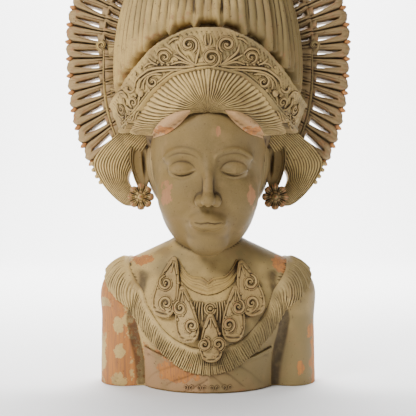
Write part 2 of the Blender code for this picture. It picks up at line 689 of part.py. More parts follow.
def make_collar():
    """Pleated collar round the neck, laid on the chest, shoulders and back."""
    columns = 2 * PLEAT_COUNT
    middle = body_point(0, 0, COLLAR_MIDDLE_HEIGHT)

    def guide(u, v):
        side = np.where(u < 0.5, -1.0, 1.0)
        t = np.abs(u - 0.5) * 2
        outer, inner = smooth_path(COLLAR_OUTER, t), smooth_path(COLLAR_INNER, t)
        q = inner + (outer - inner) * v[..., None]
        return body_point(side * q[..., 0], q[..., 1], q[..., 2])

    def front(u, v):
        crest = np.rint(u * columns).astype(int) % 2 == 1
        lift = np.where(crest, COLLAR_RAISE, COLLAR_RAISE - PLEAT_DEPTH)
        return onto(body_form, middle, guide(u, v), lift)

    def back(u, v):
        return onto(body_form, middle, guide(u, v), -COLLAR_BURIED)

    piece = slab("collar", columns, 1, front, back)
    bm = bmesh.new()
    bm.from_mesh(piece.data)
    spine = [f for f in bm.faces if all(abs(v.co.x) < 1e-6 for v in f.verts)]
    bmesh.ops.delete(bm, geom=spine, context="FACES")
    bmesh.ops.remove_doubles(bm, verts=bm.verts, dist=0.00001)
    bmesh.ops.recalc_face_normals(bm, faces=bm.faces)
    bm.to_mesh(piece.data)
    bm.free()


def make_pendants():
    """Drop-shaped pendants on the chest, each with two scrolls."""
    for i, (top_x, top_z, low_x, low_z, half) in enumerate(PENDANTS):
        count = 10
        along = np.array((low_x - top_x, low_z - top_z), float)
        length = np.hypot(*along)
        down = along / length
        across = np.array((-down[1], down[0]))

        def flat(a, b, down=down, across=across, top_x=top_x, top_z=top_z):
            return top_x + down[0] * a + across[0] * b, top_z + down[1] * a + across[1] * b

        angle = 2 * math.pi * np.arange(count) / count
        a = length * (0.5 - 0.5 * np.cos(angle))
        b = half * np.sin(angle) * (0.25 + 0.95 * (a / length) ** 1.1)
        x, z = flat(a, b)
        rings = []
        for share, lift in ((1.0, -BURIED), (0.92, PENDANT_THICKNESS)):
            cx, cz = flat(length * 0.6, 0)
            px, pz = cx + (x - cx) * share, cz + (z - cz) * share
            rings.append(from_front(body_form, px * BODY_MM, pz * BODY_MM, lift))
        loft(f"pendant_{i}", rings)

        for k, share in enumerate((0.45, 0.78)):
            centre = flat(length * share, 0)

            def place(sx, sy, lift, centre=centre):
                x, z = (centre[0] + sx) * BODY_MM, (centre[1] + sy) * BODY_MM
                return from_front(body_form, np.array(x), np.array(z), PENDANT_THICKNESS + lift)

            size = PENDANT_SCROLL * (0.85 + 0.2 * k) * (0.9 if half < 11.5 else 1)
            sense = 1 if i % 2 else -1
            name = f"pendant_scroll_{i}_{k}"
            scroll(name, place, size, sense, PENDANT_SCROLL_WIDTH, PENDANT_SCROLL_BURIED)


def make_neck_ring():
    """Flat ring round the foot of the neck, over the tops of the pendants."""
    columns = 14
    reach_out = NECK_RING[-1][0]

    def place(u, v, lift):
        x = (u - 0.5) * 2 * reach_out
        z = smooth_value(NECK_RING, np.abs(x)) + (v - 0.5) * 2 * NECK_RING_HALF
        return from_front(body_form, x * BODY_MM, z * BODY_MM, lift)

    def front(u, v):
        return place(u, v, NECK_RING_RAISE)

    def back(u, v):
        return place(u, v, -BURIED)

    slab("neck_ring", columns, 1, front, back)


def make_chest_cloth():
    """Cloth wrapped under the collar, with its upper edge falling to the middle."""
    columns, rows = 12, 1
    hem = 1.5
    half_width, side_height, middle_height = 76, 50, 34

    def place(u, v, lift):
        x = (u - 0.5) * 2 * half_width
        top = middle_height + (side_height - middle_height) * (x / half_width) ** 2
        z = hem + (top - hem) * v
        return from_front(body_form, x * BODY_MM, z * BODY_MM, lift)

    def front(u, v):
        fold = np.where(np.rint(u * columns).astype(int) % 2 == 1, CLOTH_RAISE / 2, 0)
        return place(u, v, CLOTH_RAISE + fold)

    def back(u, v):
        return place(u, v, -BURIED)

    slab("chest_cloth", columns, rows, front, back)


def wood_material():
    """Worn pale yellow paint over orange-brown wood."""
    material = bpy.data.materials.new("painted_wood")
    material.use_nodes = True
    shader = material.node_tree.nodes["Principled BSDF"]
    shader.inputs["Base Color"].default_value = (0.50, 0.38, 0.21, 1)
    shader.inputs["Roughness"].default_value = 0.7
    shader.inputs["Metallic"].default_value = 0
    return material


def join_carving():
    """One body from all the forms, with a flat underside."""
    mesh = FORMS.objects["torso"].data.copy()
    bust = bpy.data.objects.new("bust", mesh)
    CARVING.objects.link(bust)
    others = bpy.data.collections.new("joined_forms")
    for piece in FORMS.objects:
        if piece.name != "torso":
            others.objects.link(piece)
    union = bust.modifiers.new("join", "BOOLEAN")
    union.operation = "UNION"
    union.solver = "EXACT"
    union.operand_type = "COLLECTION"
    union.collection = others
    weld = bust.modifiers.new("weld", "WELD")
    weld.merge_threshold = 0.00005
    fewer = bust.modifiers.new("fewer", "DECIMATE")
    fewer.decimate_type = "COLLAPSE"
    fewer.ratio = KEPT_SHARE
    tidy = bust.modifiers.new("tidy", "WELD")
    tidy.merge_threshold = 0.00002
    bust.data.materials.append(wood_material())


for old in list(bpy.data.objects):
    bpy.data.objects.remove(old, do_unlink=True)
CARVING = bpy.data.collections.new("wooden_bust")
FORMS = bpy.data.collections.new("carved_forms")
bpy.context.scene.collection.children.link(CARVING)
bpy.context.scene.collection.children.link(FORMS)

make_torso()
make_head()
make_core()
make_leaves()
make_fan()
make_side_leaves()
make_diadem()
make_diadem_scrolls()
make_front_hair()
make_side_hair()
make_ears()
make_studs()
make_collar()
make_neck_ring()
make_pendants()
make_chest_cloth()
join_carving()
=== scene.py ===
"""Carved and painted wooden bust under a pierced fan crown: the finished carving and its worn paint.

The torso is drawn in millimetres for shoulders 264 mm across, the head and its ornaments in
millimetres above the chin for a head 208 mm high.
"""

import math

import bmesh
import bpy
import numpy as np
from mathutils.bvhtree import BVHTree
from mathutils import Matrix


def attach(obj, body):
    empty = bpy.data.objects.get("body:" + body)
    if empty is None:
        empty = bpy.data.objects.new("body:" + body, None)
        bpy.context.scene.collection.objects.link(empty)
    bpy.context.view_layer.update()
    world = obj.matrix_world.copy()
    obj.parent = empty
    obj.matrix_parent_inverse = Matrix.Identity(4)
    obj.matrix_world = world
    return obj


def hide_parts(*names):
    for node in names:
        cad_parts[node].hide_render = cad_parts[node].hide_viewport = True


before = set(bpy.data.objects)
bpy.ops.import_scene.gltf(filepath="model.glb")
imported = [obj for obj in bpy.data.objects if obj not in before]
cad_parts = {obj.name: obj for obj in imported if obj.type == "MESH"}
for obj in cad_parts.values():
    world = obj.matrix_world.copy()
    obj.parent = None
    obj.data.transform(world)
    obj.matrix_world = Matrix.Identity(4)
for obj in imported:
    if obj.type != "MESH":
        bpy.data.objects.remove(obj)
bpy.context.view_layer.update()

SHOULDER_WIDTH = 0.264
CHIN_LIFT = 0.157
HEAD_HEIGHT = 0.208
BODY_MM = SHOULDER_WIDTH / 264
HEAD_MM = HEAD_HEIGHT / 208
BURIED = 0.006  # how far the back of a laid plate is under the surface
NECK_TOP = 215
CHIN = np.array((0, 0, CHIN_LIFT))

# Outlines of the chest: height, half width, front depth and back depth.
CHEST = (
    (-40, 84, 76, 58), (0, 85, 80, 60), (40, 90, 84, 64), (80, 102, 83, 68), (105, 108, 72, 66),
    (125, 100, 56, 60), (140, 70, 44, 54), (152, 45, 38, 48), (165, 38, 36, 42), (260, 36, 36, 38),
)
# Half of each edge of the collar, from the front to the back.
COLLAR_OUTER = (
    (0, -88, 18), (30, -87, 22), (57, -80, 38), (79, -68, 59), (95, -52, 84), (108, -34, 112),
    (122, 2, 138), (108, 40, 126), (74, 62, 104), (36, 70, 94), (0, 72, 90),
)
COLLAR_INNER = (
    (0, -78, 54), (16, -77, 56), (38, -70, 66), (60, -58, 88), (74, -40, 115), (84, -20, 138),
    (95, 4, 152), (80, 34, 144), (54, 48, 132), (27, 54, 126), (0, 56, 124),
)
HEAD_FORMS = (
    ((0, 4, 132), (72, 90, 76), 1),  # skull
    ((0, -20, 78), (61, 66, 77), 22),  # face
    ((0, -34, 148), (58, 57, 46), 14),  # forehead
    ((34, -54, 70), (24, 24, 25), 16),  # cheek
    ((0, -62, 17), (22, 20, 16), 12),  # chin
    ((0, -72, 42), (24, 17, 20), 10),  # muzzle
    ((26, -71, 117), (26, 9, 8), 12),  # brow
)
HEAD_MIDDLE = (0, -12, 100)
# Edges of the diadem: distance from the middle, and height.
DIADEM_LOW = ((0, 217), (23, 214), (41, 209), (54, 200), (66, 190), (80, 174), (94, 161), (109, 150))
DIADEM_TOP = (
    (0, 264), (20, 263), (35, 258), (49, 252), (66, 242), (81, 228), (93, 216), (104, 202), (115, 190),
    (122, 184),
)
DIADEM_HALF_LOW, DIADEM_HALF_TOP = 109, 122
DIADEM_FRONT_LOW, DIADEM_FRONT_TOP = 94, 98
DIADEM_MEAN = 108
DIADEM_TURN = math.radians(85)
DIADEM_THICKNESS = 0.038
CORE_MIDDLE = (0, 18, 238)
CORE_HALF = (104, 84, 158)
CORE_BACK = 50
LEAF_TIP_TURNS = (8, 23, 40, 54, 68, 84)  # degrees round the core from the middle
FAN_RADIUS = 0.179
FAN_THICKNESS = 0.040
FAN_FRONT = 0.022
LOOP_COUNT = 38
LOOP_LENGTH = 0.031
LOOP_END = 0.009
INNER_LOOP_LENGTH = 0.060
INNER_STEP = 0.007
FAN_MIDDLE_HEIGHT = 250
FAN_LOWEST = math.radians(-42)
FAN_PITCH = (math.pi - 2 * FAN_LOWEST) / LOOP_COUNT
FAN_UPPER_GAIN = 20 / 179
FAN_LOWER_GAIN = 52 / 179
INNER_TIER_LOWEST = math.radians(8)
SIDE_LEAF_WIDTH = 0.050
# Edges of a side lobe of the hair, from the diadem down.
HAIR_LOBE_INNER = (
    (62, -12, 152), (79, 2, 134), (90, 13, 117), (99, 16, 104), (101, 13, 94), (97, 8, 85), (90, 4, 80),
)
HAIR_LOBE_OUTER = (
    (112, -4, 151), (134, 16, 134), (147, 25, 114), (137, 23, 92), (122, 17, 74), (106, 11, 62), (92, 6, 60),
)
EAR_MIDDLE = (85, 4, 112)
EAR_HALF = (12, 33)
STUD_MIDDLE = (83.5, -4, 72)
STUD_RADIUS = 0.0165
STUD_THICKNESS = 0.012
HAIRLINE_DRAWN = ((0, 167), (18, 167), (31, 160), (43, 153), (56, 149), (65, 146))
HAIRLINE_END = ((82, -14, 147), (101, -10, 152))
HAIR_INSET = 4
# Pendants: top across and up, foot across and up, and half width.
PENDANTS = (
    (-40, 156, -55, 88, 17.5), (39, 152, 57, 90, 17.5), (-31, 123, -21, 60, 15.5), (33, 123, 28, 61, 15.5),
    (3, 93, 4, 38, 15),
)
# Spirals on each pendant: middle across, middle up, radius and turning sense.
PENDANT_SPIRALS = (
    ((-50, 126, 8.6, 1), (-49, 104, 8.4, -1)), ((50, 127, 8.8, -1), (51, 104, 8.6, 1)),
    ((-32, 99, 8.0, 1), (-18.5, 80, 7.6, -1)), ((35, 100, 8.2, -1), (24, 81, 7.8, 1)),
    ((-4, 59, 7.2, -1), (11.5, 59.5, 7.2, 1)),
)
PENDANT_THICKNESS = 0.008
# Half of each edge of the neck band, from the front outward.
BAND_UPPER = ((0, 127), (8, 132.5), (20, 134), (28, 141), (35, 153))
BAND_LOWER = ((0, 113), (10, 115), (22, 120.5), (33, 130.5), (41, 148))
# Lines cut (below 0) or raised in each half of the face: path, height and width.
FACE_LINES = (
    (((15, 100.5), (22, 97), (30, 95.5), (38, 96.5), (46, 100.5)), -2.6, 1.0),
    (((15, 102.6), (22, 99.3), (30, 98), (38, 98.9), (46, 102.4)), 1.0, 1.2),
    (((14, 103), (21, 110), (31, 112.5), (41, 110), (48, 103)), -1.5, 1.3),
    (((18, 94), (30, 90.5), (43, 94.5)), -0.8, 1.8),
    (((8, 107), (9.5, 117), (19, 123), (33, 125.5), (46, 121.5), (55, 114)), 2.1, 2.3),
    (((13, 116), (20, 119.5), (33, 121.5), (45, 118), (53, 112)), -1.0, 1.5),
    (((13.5, 71), (16.3, 66), (14.8, 60.5)), -0.8, 1.1),
)


# Form drawing

def body_point(x, y, z):
    return np.stack(np.broadcast_arrays(x, y, z), axis=-1) * BODY_MM


def head_point(x, y, z):
    return np.stack(np.broadcast_arrays(x, y, z), axis=-1) * HEAD_MM + CHIN


def unit(ways):
    """Directions brought to a length of 1."""
    return ways / np.maximum(np.linalg.norm(ways, axis=-1, keepdims=True), 1e-9)


def globe_ways(turn, tilt):
    """Directions at a turn (0 in front) and a tilt (-pi/2 down to pi/2 up)."""
    return np.stack([np.cos(tilt) * np.sin(turn), -np.cos(tilt) * np.cos(turn), np.sin(tilt)], axis=-1)


def smooth_value(knots, x):
    """Value at x on a smooth curve through knots of position and value."""
    knots = np.asarray(knots, float)
    place, value = knots[:, 0], knots[:, 1:]
    slope = np.gradient(value, place, axis=0)
    x = np.clip(x, place[0], place[-1])
    i = np.clip(np.searchsorted(place, x, side="right") - 1, 0, len(place) - 2)
    gap = (place[i + 1] - place[i])[..., None]
    t = (x - place[i])[..., None] / gap
    found = (
        (2 * t**3 - 3 * t**2 + 1) * value[i]
        + (t**3 - 2 * t**2 + t) * gap * slope[i]
        + (3 * t**2 - 2 * t**3) * value[i + 1]
        + (t**3 - t**2) * gap * slope[i + 1]
    )
    return found[..., 0] if value.shape[1] == 1 else found


def smooth_path(points, t):
    """Places at shares t (0 to 1) of a smooth line through points."""
    points = np.asarray(points, float)
    knots = np.column_stack([np.linspace(0, 1, len(points)), points])
    return smooth_value(knots, np.asarray(t, float))


def bump(x, width):
    """Rounded ridge of height 1 at x = 0."""
    return np.exp(-((x / width) ** 2))


def wander(*parts, seed):
    """Slow irregular variation of about one either way, for hand-cut unevenness."""
    total = 0.0
    draw = np.random.default_rng(seed)
    for k in range(4):
        phase = draw.uniform(0, 6.28)
        ways = draw.normal(size=len(parts)) * 1.6**k
        total = total + np.sin(sum(way * part for way, part in zip(ways, parts)) + phase) / 1.5**k
    return total / 2


def egg(p, middle, half):
    """Rough distance of places to an egg shape, under 0 inside."""
    q = (p - np.array(middle, float)) / np.array(half, float)
    near = np.linalg.norm(q, axis=-1)
    return near * (near - 1) / np.maximum(np.linalg.norm(q / np.array(half, float), axis=-1), 1e-9)


def limb(p, start, end, radius_start, radius_end):
    """Distance of places to a round bar with rounded ends, under 0 inside."""
    start, end = np.array(start, float), np.array(end, float)
    along = end - start
    t = np.clip(((p - start) @ along) / (along @ along), 0, 1)
    radius = radius_start + (radius_end - radius_start) * t
    return np.linalg.norm(p - start - t[..., None] * along, axis=-1) - radius


def join(a, b, soft):
    """Two forms as one, with a fillet between them."""
    h = np.clip(0.5 + 0.5 * (b - a) / soft, 0, 1)
    return b + (a - b) * h - soft * h * (1 - h)


def cut(a, b, soft):
    return -join(-a, b, soft)


def body_form(p):
    q = p / BODY_MM
    q = np.concatenate([np.abs(q[..., :1]), q[..., 1:]], axis=-1)
    half, front, back = np.moveaxis(smooth_value(CHEST, q[..., 2]), -1, 0)
    depth = np.where(q[..., 1] < 0, front, back)
    round_share = np.hypot(q[..., 0] / half, q[..., 1] / depth)
    chest = (round_share - 1) * np.minimum(half, depth)
    arm = limb(q * (1, 0.78, 1), (103, 3, -60), (99, 3, 108), 31.5, 33)
    shoulder = egg(q, (97, 4, 108), (35.5, 46, 42))
    slope = limb(q * (1, 0.75, 1), (34, 4, 149), (92, 3, 123), 30, 29)
    trunk = join(join(chest, slope, 16), join(arm, shoulder, 8), 8)
    return trunk * BODY_MM


def head_form(p):
    """Bare head with a calm, general face, before its fine features."""
    q = (p - CHIN) / HEAD_MM
    q = np.concatenate([np.abs(q[..., :1]), q[..., 1:]], axis=-1)
    found = egg(q, *HEAD_FORMS[0][:2])
    for middle, half, soft in HEAD_FORMS[1:]:
        found = join(found, egg(q, middle, half), soft)
    found = cut(found, egg(q, (29, -93, 106), (18, 14, 12)), 8)
    found = join(found, egg(q, (30, -71, 103), (16.5, 12.5, 10.5)), 4)
    found = join(found, limb(q, (0, -82, 116), (0, -103, 68), 4.5, 6.0), 9)
    found = join(found, egg(q, (0, -105, 66.5), (8, 8.5, 7.5)), 4)
    found = join(found, egg(q, (9.5, -95.5, 65), (6, 8, 6)), 3.5)
    found = cut(found, egg(q, (5, -105, 59.4), (2.7, 5, 2.0)), 1.5)
    found = join(found, egg(q, (0, -84, 41), (20, 7.5, 9)), 6)
    return found * HEAD_MM


def carve_line(x, z, points, height, width, steps=160):
    """Ridge, or groove where the height is under 0, along a smooth line that fades at both ends."""
    path = smooth_path(points, np.linspace(0, 1, steps))
    low, high = path.min(axis=0) - 3 * width, path.max(axis=0) + 3 * width
    close = (x > low[0]) & (x < high[0]) & (z > low[1]) & (z < high[1])
    away = np.hypot(x[close, None] - path[:, 0], z[close, None] - path[:, 1])
    share = np.clip(away.argmin(axis=1) / (steps - 1), 0.02, 0.98)
    change = np.zeros_like(x)
    change[close] = height * np.sin(math.pi * share) ** 0.5 * bump(away.min(axis=1), width)
    return change


def face_relief(q):
    """Height of lids, brows, nose wings and lips over the bare head, all in millimetres."""
    x, z = np.abs(q[..., 0]), q[..., 2]
    total = sum(carve_line(x, z, *line) for line in FACE_LINES)
    side = np.clip(x / 23, 0, 1)
    line = 40.4 + 0.7 * np.cos(side * 9) * (1 - side) + 1.2 * side**3
    upper = 7.0 * (1 - side**1.7) - 1.5 * bump(x, 3.2) + 0.6 * bump(x - 6, 3)
    lower = 9.0 * (1 - side**2) ** 0.8
    above = np.clip((z - line) / np.maximum(upper, 0.3), 0, 1)
    below = np.clip((line - z) / np.maximum(lower, 0.3), 0, 1)
    full = (1 - side**2) ** 0.6
    total += (2.0 * np.sin(math.pi * above**0.7) + 2.8 * np.sin(math.pi * below**0.75)) * full
    total -= 1.4 * bump(z - line, 0.9) * (1 - side**4)
    total -= 0.9 * bump(np.hypot(x - 24, z - 41.6), 2.6)
    total += (0.5 * bump(x - 3.7, 1.4) - 0.7 * bump(x, 1.9)) * bump(z - 53, 4)
    total -= 0.9 * bump(z - 28.5, 4) * bump(x, 13)
    return total * (q[..., 1] < -30)


def reach(form, start, direction, far, steps=60):
    """Outermost distance along each direction at which a form's surface lies."""
    t = np.full(direction.shape[:-1], float(far))
    inside = np.zeros(t.shape, bool)
    for _ in range(steps):
        inside |= form(start + direction * t[..., None]) < 0
        if inside.all():
            break
        t = np.where(inside, t, t - far / steps)
    low, high = t, t + far / steps
    for _ in range(13):
        middle = (low + high) / 2
        within = form(start + direction * middle[..., None]) < 0
        low, high = np.where(within, middle, low), np.where(within, high, middle)
    return low


def onto(form, middle, guide, lift):
    """Places on a form's surface, seen from its middle toward guide, raised by lift."""
    direction = unit(guide - middle)
    return middle + direction * (reach(form, middle, direction, 0.4) + lift)[..., None]


def from_front(form, x, z, lift):
    """Places on a form's front at x and z, raised by lift."""
    start = np.stack(np.broadcast_arrays(x, 0.0, z), axis=-1).astype(float)
    direction = np.broadcast_to((0.0, -1.0, 0.0), start.shape)
    return start + direction * (reach(form, start, direction, 0.2) + lift)[..., None]


def skin_way(form, places):
    """Outward direction of a form's surface at places on it."""
    steps = np.eye(3) * 0.0005
    return unit(np.stack([form(places + step) - form(places - step) for step in steps], axis=-1))


def lay_hairline():
    """Hairline from the parting to the top of the ear, its front part laid on the head."""
    x, z = np.array(HAIRLINE_DRAWN, float).T
    laid = from_front(head_form, x * HEAD_MM, CHIN_LIFT + z * HEAD_MM, 0.0005)
    return np.vstack([(laid - CHIN) / HEAD_MM, HAIRLINE_END])


HAIRLINE = lay_hairline()


def drape(pieces, x, z):
    """Depth of the foremost surface of finished pieces at places in the front view."""
    graph = bpy.context.evaluated_depsgraph_get()
    trees = [BVHTree.FromObject(piece, graph) for piece in pieces]
    depths = []
    for start in zip(x, np.full(len(x), -0.3), z):
        hits = [tree.ray_cast(start, (0, 1, 0))[0] for tree in trees]
        depths.append(min((hit[1] for hit in hits if hit), default=0.0))
    return np.array(depths)


# Mesh making

def sided(name, side):
    return f"{name}_{'left' if side < 0 else 'right'}"


def take_active(name):
    piece = bpy.context.object
    piece.name = name
    piece.data.name = name
    return piece


def get_places(mesh, field="co"):
    """Place of every point of a mesh, or its normal where that field is asked for."""
    found = np.empty(len(mesh.vertices) * 3)
    mesh.vertices.foreach_get(field, found)
    return found.reshape(-1, 3)


def set_places(mesh, places):
    mesh.vertices.foreach_set("co", np.ascontiguousarray(places, dtype=np.float64).ravel())
    mesh.update()


def face_outward(piece):
    """Turns all faces outwards, whichever way the moved points left them."""
    bm = bmesh.new()
    bm.from_mesh(piece.data)
    bmesh.ops.recalc_face_normals(bm, faces=bm.faces)
    if bm.calc_volume(signed=True) < 0:
        bmesh.ops.reverse_faces(bm, faces=bm.faces)
    bm.to_mesh(piece.data)
    bm.free()
    piece.data.update()


def plate(name, columns, rows, front, back, is_hole=None):
    """A grid thickened between two surfaces given as functions of u and v."""
    bpy.ops.object.select_all(action="DESELECT")
    bpy.ops.mesh.primitive_grid_add(x_subdivisions=columns, y_subdivisions=rows, size=1)
    piece = take_active(name)
    if is_hole is not None:
        centres = np.empty(len(piece.data.polygons) * 3)
        piece.data.polygons.foreach_get("center", centres)
        centres = centres.reshape(-1, 3) + 0.5
        bpy.ops.object.mode_set(mode="EDIT")
        bpy.ops.mesh.select_all(action="DESELECT")
        bpy.ops.object.mode_set(mode="OBJECT")
        piece.data.polygons.foreach_set("select", is_hole(centres[:, 0], centres[:, 1]))
        bpy.ops.object.mode_set(mode="EDIT")
        bpy.ops.mesh.select_mode(type="FACE")
        bpy.ops.mesh.delete(type="FACE")
        bpy.ops.object.mode_set(mode="OBJECT")
    bpy.ops.object.mode_set(mode="EDIT")
    bpy.ops.mesh.select_mode(type="VERT")
    bpy.ops.mesh.select_all(action="SELECT")
    bpy.ops.mesh.extrude_region_move()
    bpy.ops.object.mode_set(mode="OBJECT")
    mesh = piece.data
    upper = np.empty(len(mesh.vertices), bool)
    mesh.vertices.foreach_get("select", upper)
    flat = get_places(mesh) + 0.5
    places = np.empty_like(flat)
    places[upper] = front(flat[upper, 0], flat[upper, 1])
    places[~upper] = back(flat[~upper, 0], flat[~upper, 1])
    set_places(mesh, places)
    face_outward(piece)
    return piece


def globe(name, segments, rings, place):
    """A globe whose points, given as turn (-pi to pi, 0 in front) and tilt, are drawn out."""
    bpy.ops.object.select_all(action="DESELECT")
    bpy.ops.mesh.primitive_uv_sphere_add(segments=segments, ring_count=rings, radius=1)
    piece = take_active(name)
    ways = get_places(piece.data)
    turn = np.arctan2(ways[:, 0], -ways[:, 1])
    tilt = np.arcsin(np.clip(ways[:, 2], -1, 1))
    set_places(piece.data, place(turn, tilt))
    face_outward(piece)
    return piece


def ridge(path, outward, half):
    """A rounded ridge with pointed ends along a path: half gives its half width at each step."""
    last = len(path) - 1
    half = np.broadcast_to(half, (len(path),))
    along = unit(np.gradient(path, axis=0))
    outward = np.broadcast_to(outward, path.shape)
    outward = unit(outward - (outward * along).sum(axis=-1, keepdims=True) * along)
    side = np.cross(along, outward)

    def place(turn, tilt):
        i = np.clip(np.rint((tilt / math.pi + 0.5) * last).astype(int), 0, last)
        wide = half[i] * ((i > 0) & (i < last))
        across = np.cos(turn)[:, None] * outward[i] + np.sin(turn)[:, None] * side[i]
        return path[i] + across * wide[:, None]

    return globe("ridge", 8, last, place)


def fuse(name, pieces):
    """Several closed shapes kept as one piece."""
    bpy.ops.object.select_all(action="DESELECT")
    for piece in pieces:
        piece.select_set(True)
    bpy.context.view_layer.objects.active = pieces[0]
    bpy.ops.object.join()
    return take_active(name)


def spot_on(place, lift):
    """The point that a placing function gives for no offset."""
    return place(np.zeros(1), np.zeros(1), lift)[0]


def spiral(place, radius, sense, thick, turns, steps=44, start=-90, lift=0.0018, twin=True):
    """A spiral of one or two ridges round a knob: place maps x, y and lift in mm, mm and metres."""
    t = np.linspace(0, 1, steps)
    angle = sense * 2 * math.pi * turns * t + math.radians(start)
    taper = 0.55 + 0.45 * np.sin(math.pi * np.clip(t * 1.1, 0, 1)) - 0.25 * t
    made = []
    for shift, half, drop in ((0.0, 0.5, 0.0), (0.62, 0.24, -0.0006)) if twin else ((0.0, 0.5, 0.0),):
        out = radius * (1 - 0.84 * t**0.85) + thick * shift
        x, y = out * np.cos(angle), out * np.sin(angle)
        path = place(x, y, lift + drop)
        made.append(ridge(path, path - place(x, y, lift + drop - 0.003), thick * half * taper * 0.001))
    made.append(bead(spot_on(place, lift), radius * 0.17 * 0.001))
    return made


def bead(middle, radius, squash=(1, 1, 1), segments=12, rings=8):
    def place(turn, tilt):
        return middle + globe_ways(turn, tilt) * radius * np.array(squash)

    return globe("bead", segments, rings, place)


# Torso, head, hair

def make_torso():
    """Chest, arms, shoulders and neck, cut flat below."""
    def place(turn, tilt):
        v = tilt / math.pi + 0.5
        height = np.interp(v, (0, 0.05, 0.96, 1), (0, 0, NECK_TOP, NECK_TOP))
        share = np.interp(v, (0, 0.05, 0.96, 1), (0, 1, 1, 0))
        turn = turn - 0.3 * np.sin(turn)
        direction = globe_ways(turn, np.zeros_like(turn))
        middle = body_point(0, 0, height)
        far = reach(body_form, middle, direction, 190 * BODY_MM)
        chip = 0.00025 * wander(turn * 6, height / 9, seed=3)
        return middle + direction * ((far + chip) * share)[:, None]

    return globe("torso", 220, 140, place)


def make_head():
    """Head with a general face, its points set closer together round the features."""
    closer = ((-90, -90), (-60, -50), (-30, -26), (0, -7), (30, 12), (60, 42), (90, 90))

    def place(turn, tilt):
        ways = globe_ways(turn - 0.58 * np.sin(turn), np.radians(smooth_value(closer, np.degrees(tilt))))
        middle = head_point(*HEAD_MIDDLE)
        places = middle + ways * reach(head_form, middle, ways, 160 * HEAD_MM)[:, None]
        relief = face_relief((places - CHIN) / HEAD_MM)
        return places + ways * (relief * HEAD_MM)[:, None]

    return globe("head", 290, 240, place)


def make_back_hair():
    """Plain bound hair behind the head, with shallow upright strands."""
    def place(turn, tilt):
        strands = 0.7 * np.cos(turn * 62 + 3 * np.sin(tilt * 2)) * np.cos(tilt)
        wide = np.cos(tilt) * (1 + strands / 79)
        return head_point(79 * wide * np.sin(turn), 20 - 78 * wide * np.cos(turn), 118 + 84 * np.sin(tilt))

    return globe("back_hair", 240, 60, place)


def hair_end(u):
    """Where the combed hair goes in under the diadem, from the middle (u=0) to the temple (u=1)."""
    turn = u * DIADEM_TURN
    x = (DIADEM_HALF_LOW - HAIR_INSET) * np.sin(turn)
    y = -(DIADEM_FRONT_LOW - HAIR_INSET) * np.cos(turn)
    z = smooth_value(DIADEM_LOW, np.sin(turn) * DIADEM_HALF_LOW) + HAIR_INSET
    return np.stack([x, y, z], axis=-1)


def front_hair(u, v, lift):
    """Combed hair from the parting (v=0) to the diadem (v=1), middle (u=0) to temple (u=1)."""
    combed, first, last = hair_end(u), hair_end(0.0), hair_end(1.0)
    hairline = smooth_path(HAIRLINE, v)
    u, v = u[..., None], v[..., None]
    parting = HAIRLINE[0] + (first - HAIRLINE[0]) * v
    side = hairline + (last - HAIRLINE[-1]) * v**4
    found = (1 - u) * parting + u * side + v * (combed - (1 - u) * first - u * last)
    swell = 5 * np.sin(math.pi * v) * (1 - u)
    return found + unit(found * (1, 1, 0)) * (swell + np.asarray(lift)[..., None] / HEAD_MM)


def make_front_hair():
    """Combed strands that fan out from the parting to the diadem."""
    strands = 29
    root_gap = 0.04

    def placed(u, v, lift):
        across = 2 * u - 1
        q = front_hair(np.abs(across), root_gap + (1 - root_gap) * v, lift)
        return head_point(np.sign(across) * q[..., 0], q[..., 1], q[..., 2])

    def front(u, v):
        across = np.abs(2 * u - 1)
        grown = np.sin(math.pi / 2 * np.clip(v * 2.2, 0, 1))
        sway = 0.28 * wander(u * 9, v * 3, seed=5)
        comb = np.abs(np.cos(math.pi * (across * strands + sway))) ** 0.8
        height = 0.0003 + 0.0017 * grown + 0.0024 * comb * (0.40 + 0.60 * grown)
        return placed(u, v, height + 0.0003 * wander(u * 40, v * 4, seed=8))

    return plate("front_hair", 2 * strands * 6, 34, front, lambda u, v: placed(u, v, -0.018))


def make_temple_lock(side, below):
    """Broad smooth pointed lock along the hairline, laid over the head and the combed strands."""
    columns, rows = 44, 18
    upper = ((20, 170), (35, 168), (47, 163.5), (58, 157), (67, 147))
    lower = ((20, 168.5), (30, 157.5), (39, 150), (50, 144.5), (66, 142.5))
    u, v = np.meshgrid(np.linspace(0, 1, columns + 1), np.linspace(0, 1, rows + 1), indexing="ij")
    drawn = smooth_path(lower, u) * (1 - v[..., None]) + smooth_path(upper, u) * v[..., None]
    x, z = side * drawn[..., 0] * HEAD_MM, CHIN_LIFT + drawn[..., 1] * HEAD_MM
    y = drape(below, x.ravel(), z.ravel()).reshape(x.shape)
    for _ in range(6):
        wider = np.pad(y, 1, mode="edge")
        around = wider[:-2, 1:-1] + wider[2:, 1:-1] + wider[1:-1, :-2] + wider[1:-1, 2:]
        y = np.minimum(y, around / 4)

    def lay(u, v, lift):
        i, k = np.rint(u * columns).astype(int), np.rint(v * rows).astype(int)
        return np.stack([x[i, k], y[i, k] - lift, z[i, k]], axis=-1)

    def front(u, v):
        swell = 0.0024 * np.sin(math.pi * np.clip(v, 0.04, 0.96)) ** 0.5
        swell = swell * np.sin(math.pi * np.clip(u, 0.05, 0.8)) ** 0.4
        veins = 0.0004 * np.cos(2 * math.pi * (7 * u - 2.5 * v)) * np.sin(math.pi * v)
        return lay(u, v, 0.0004 + swell + veins)

    return plate("lock", columns, rows, front, lambda u, v: lay(u, v, -0.005))


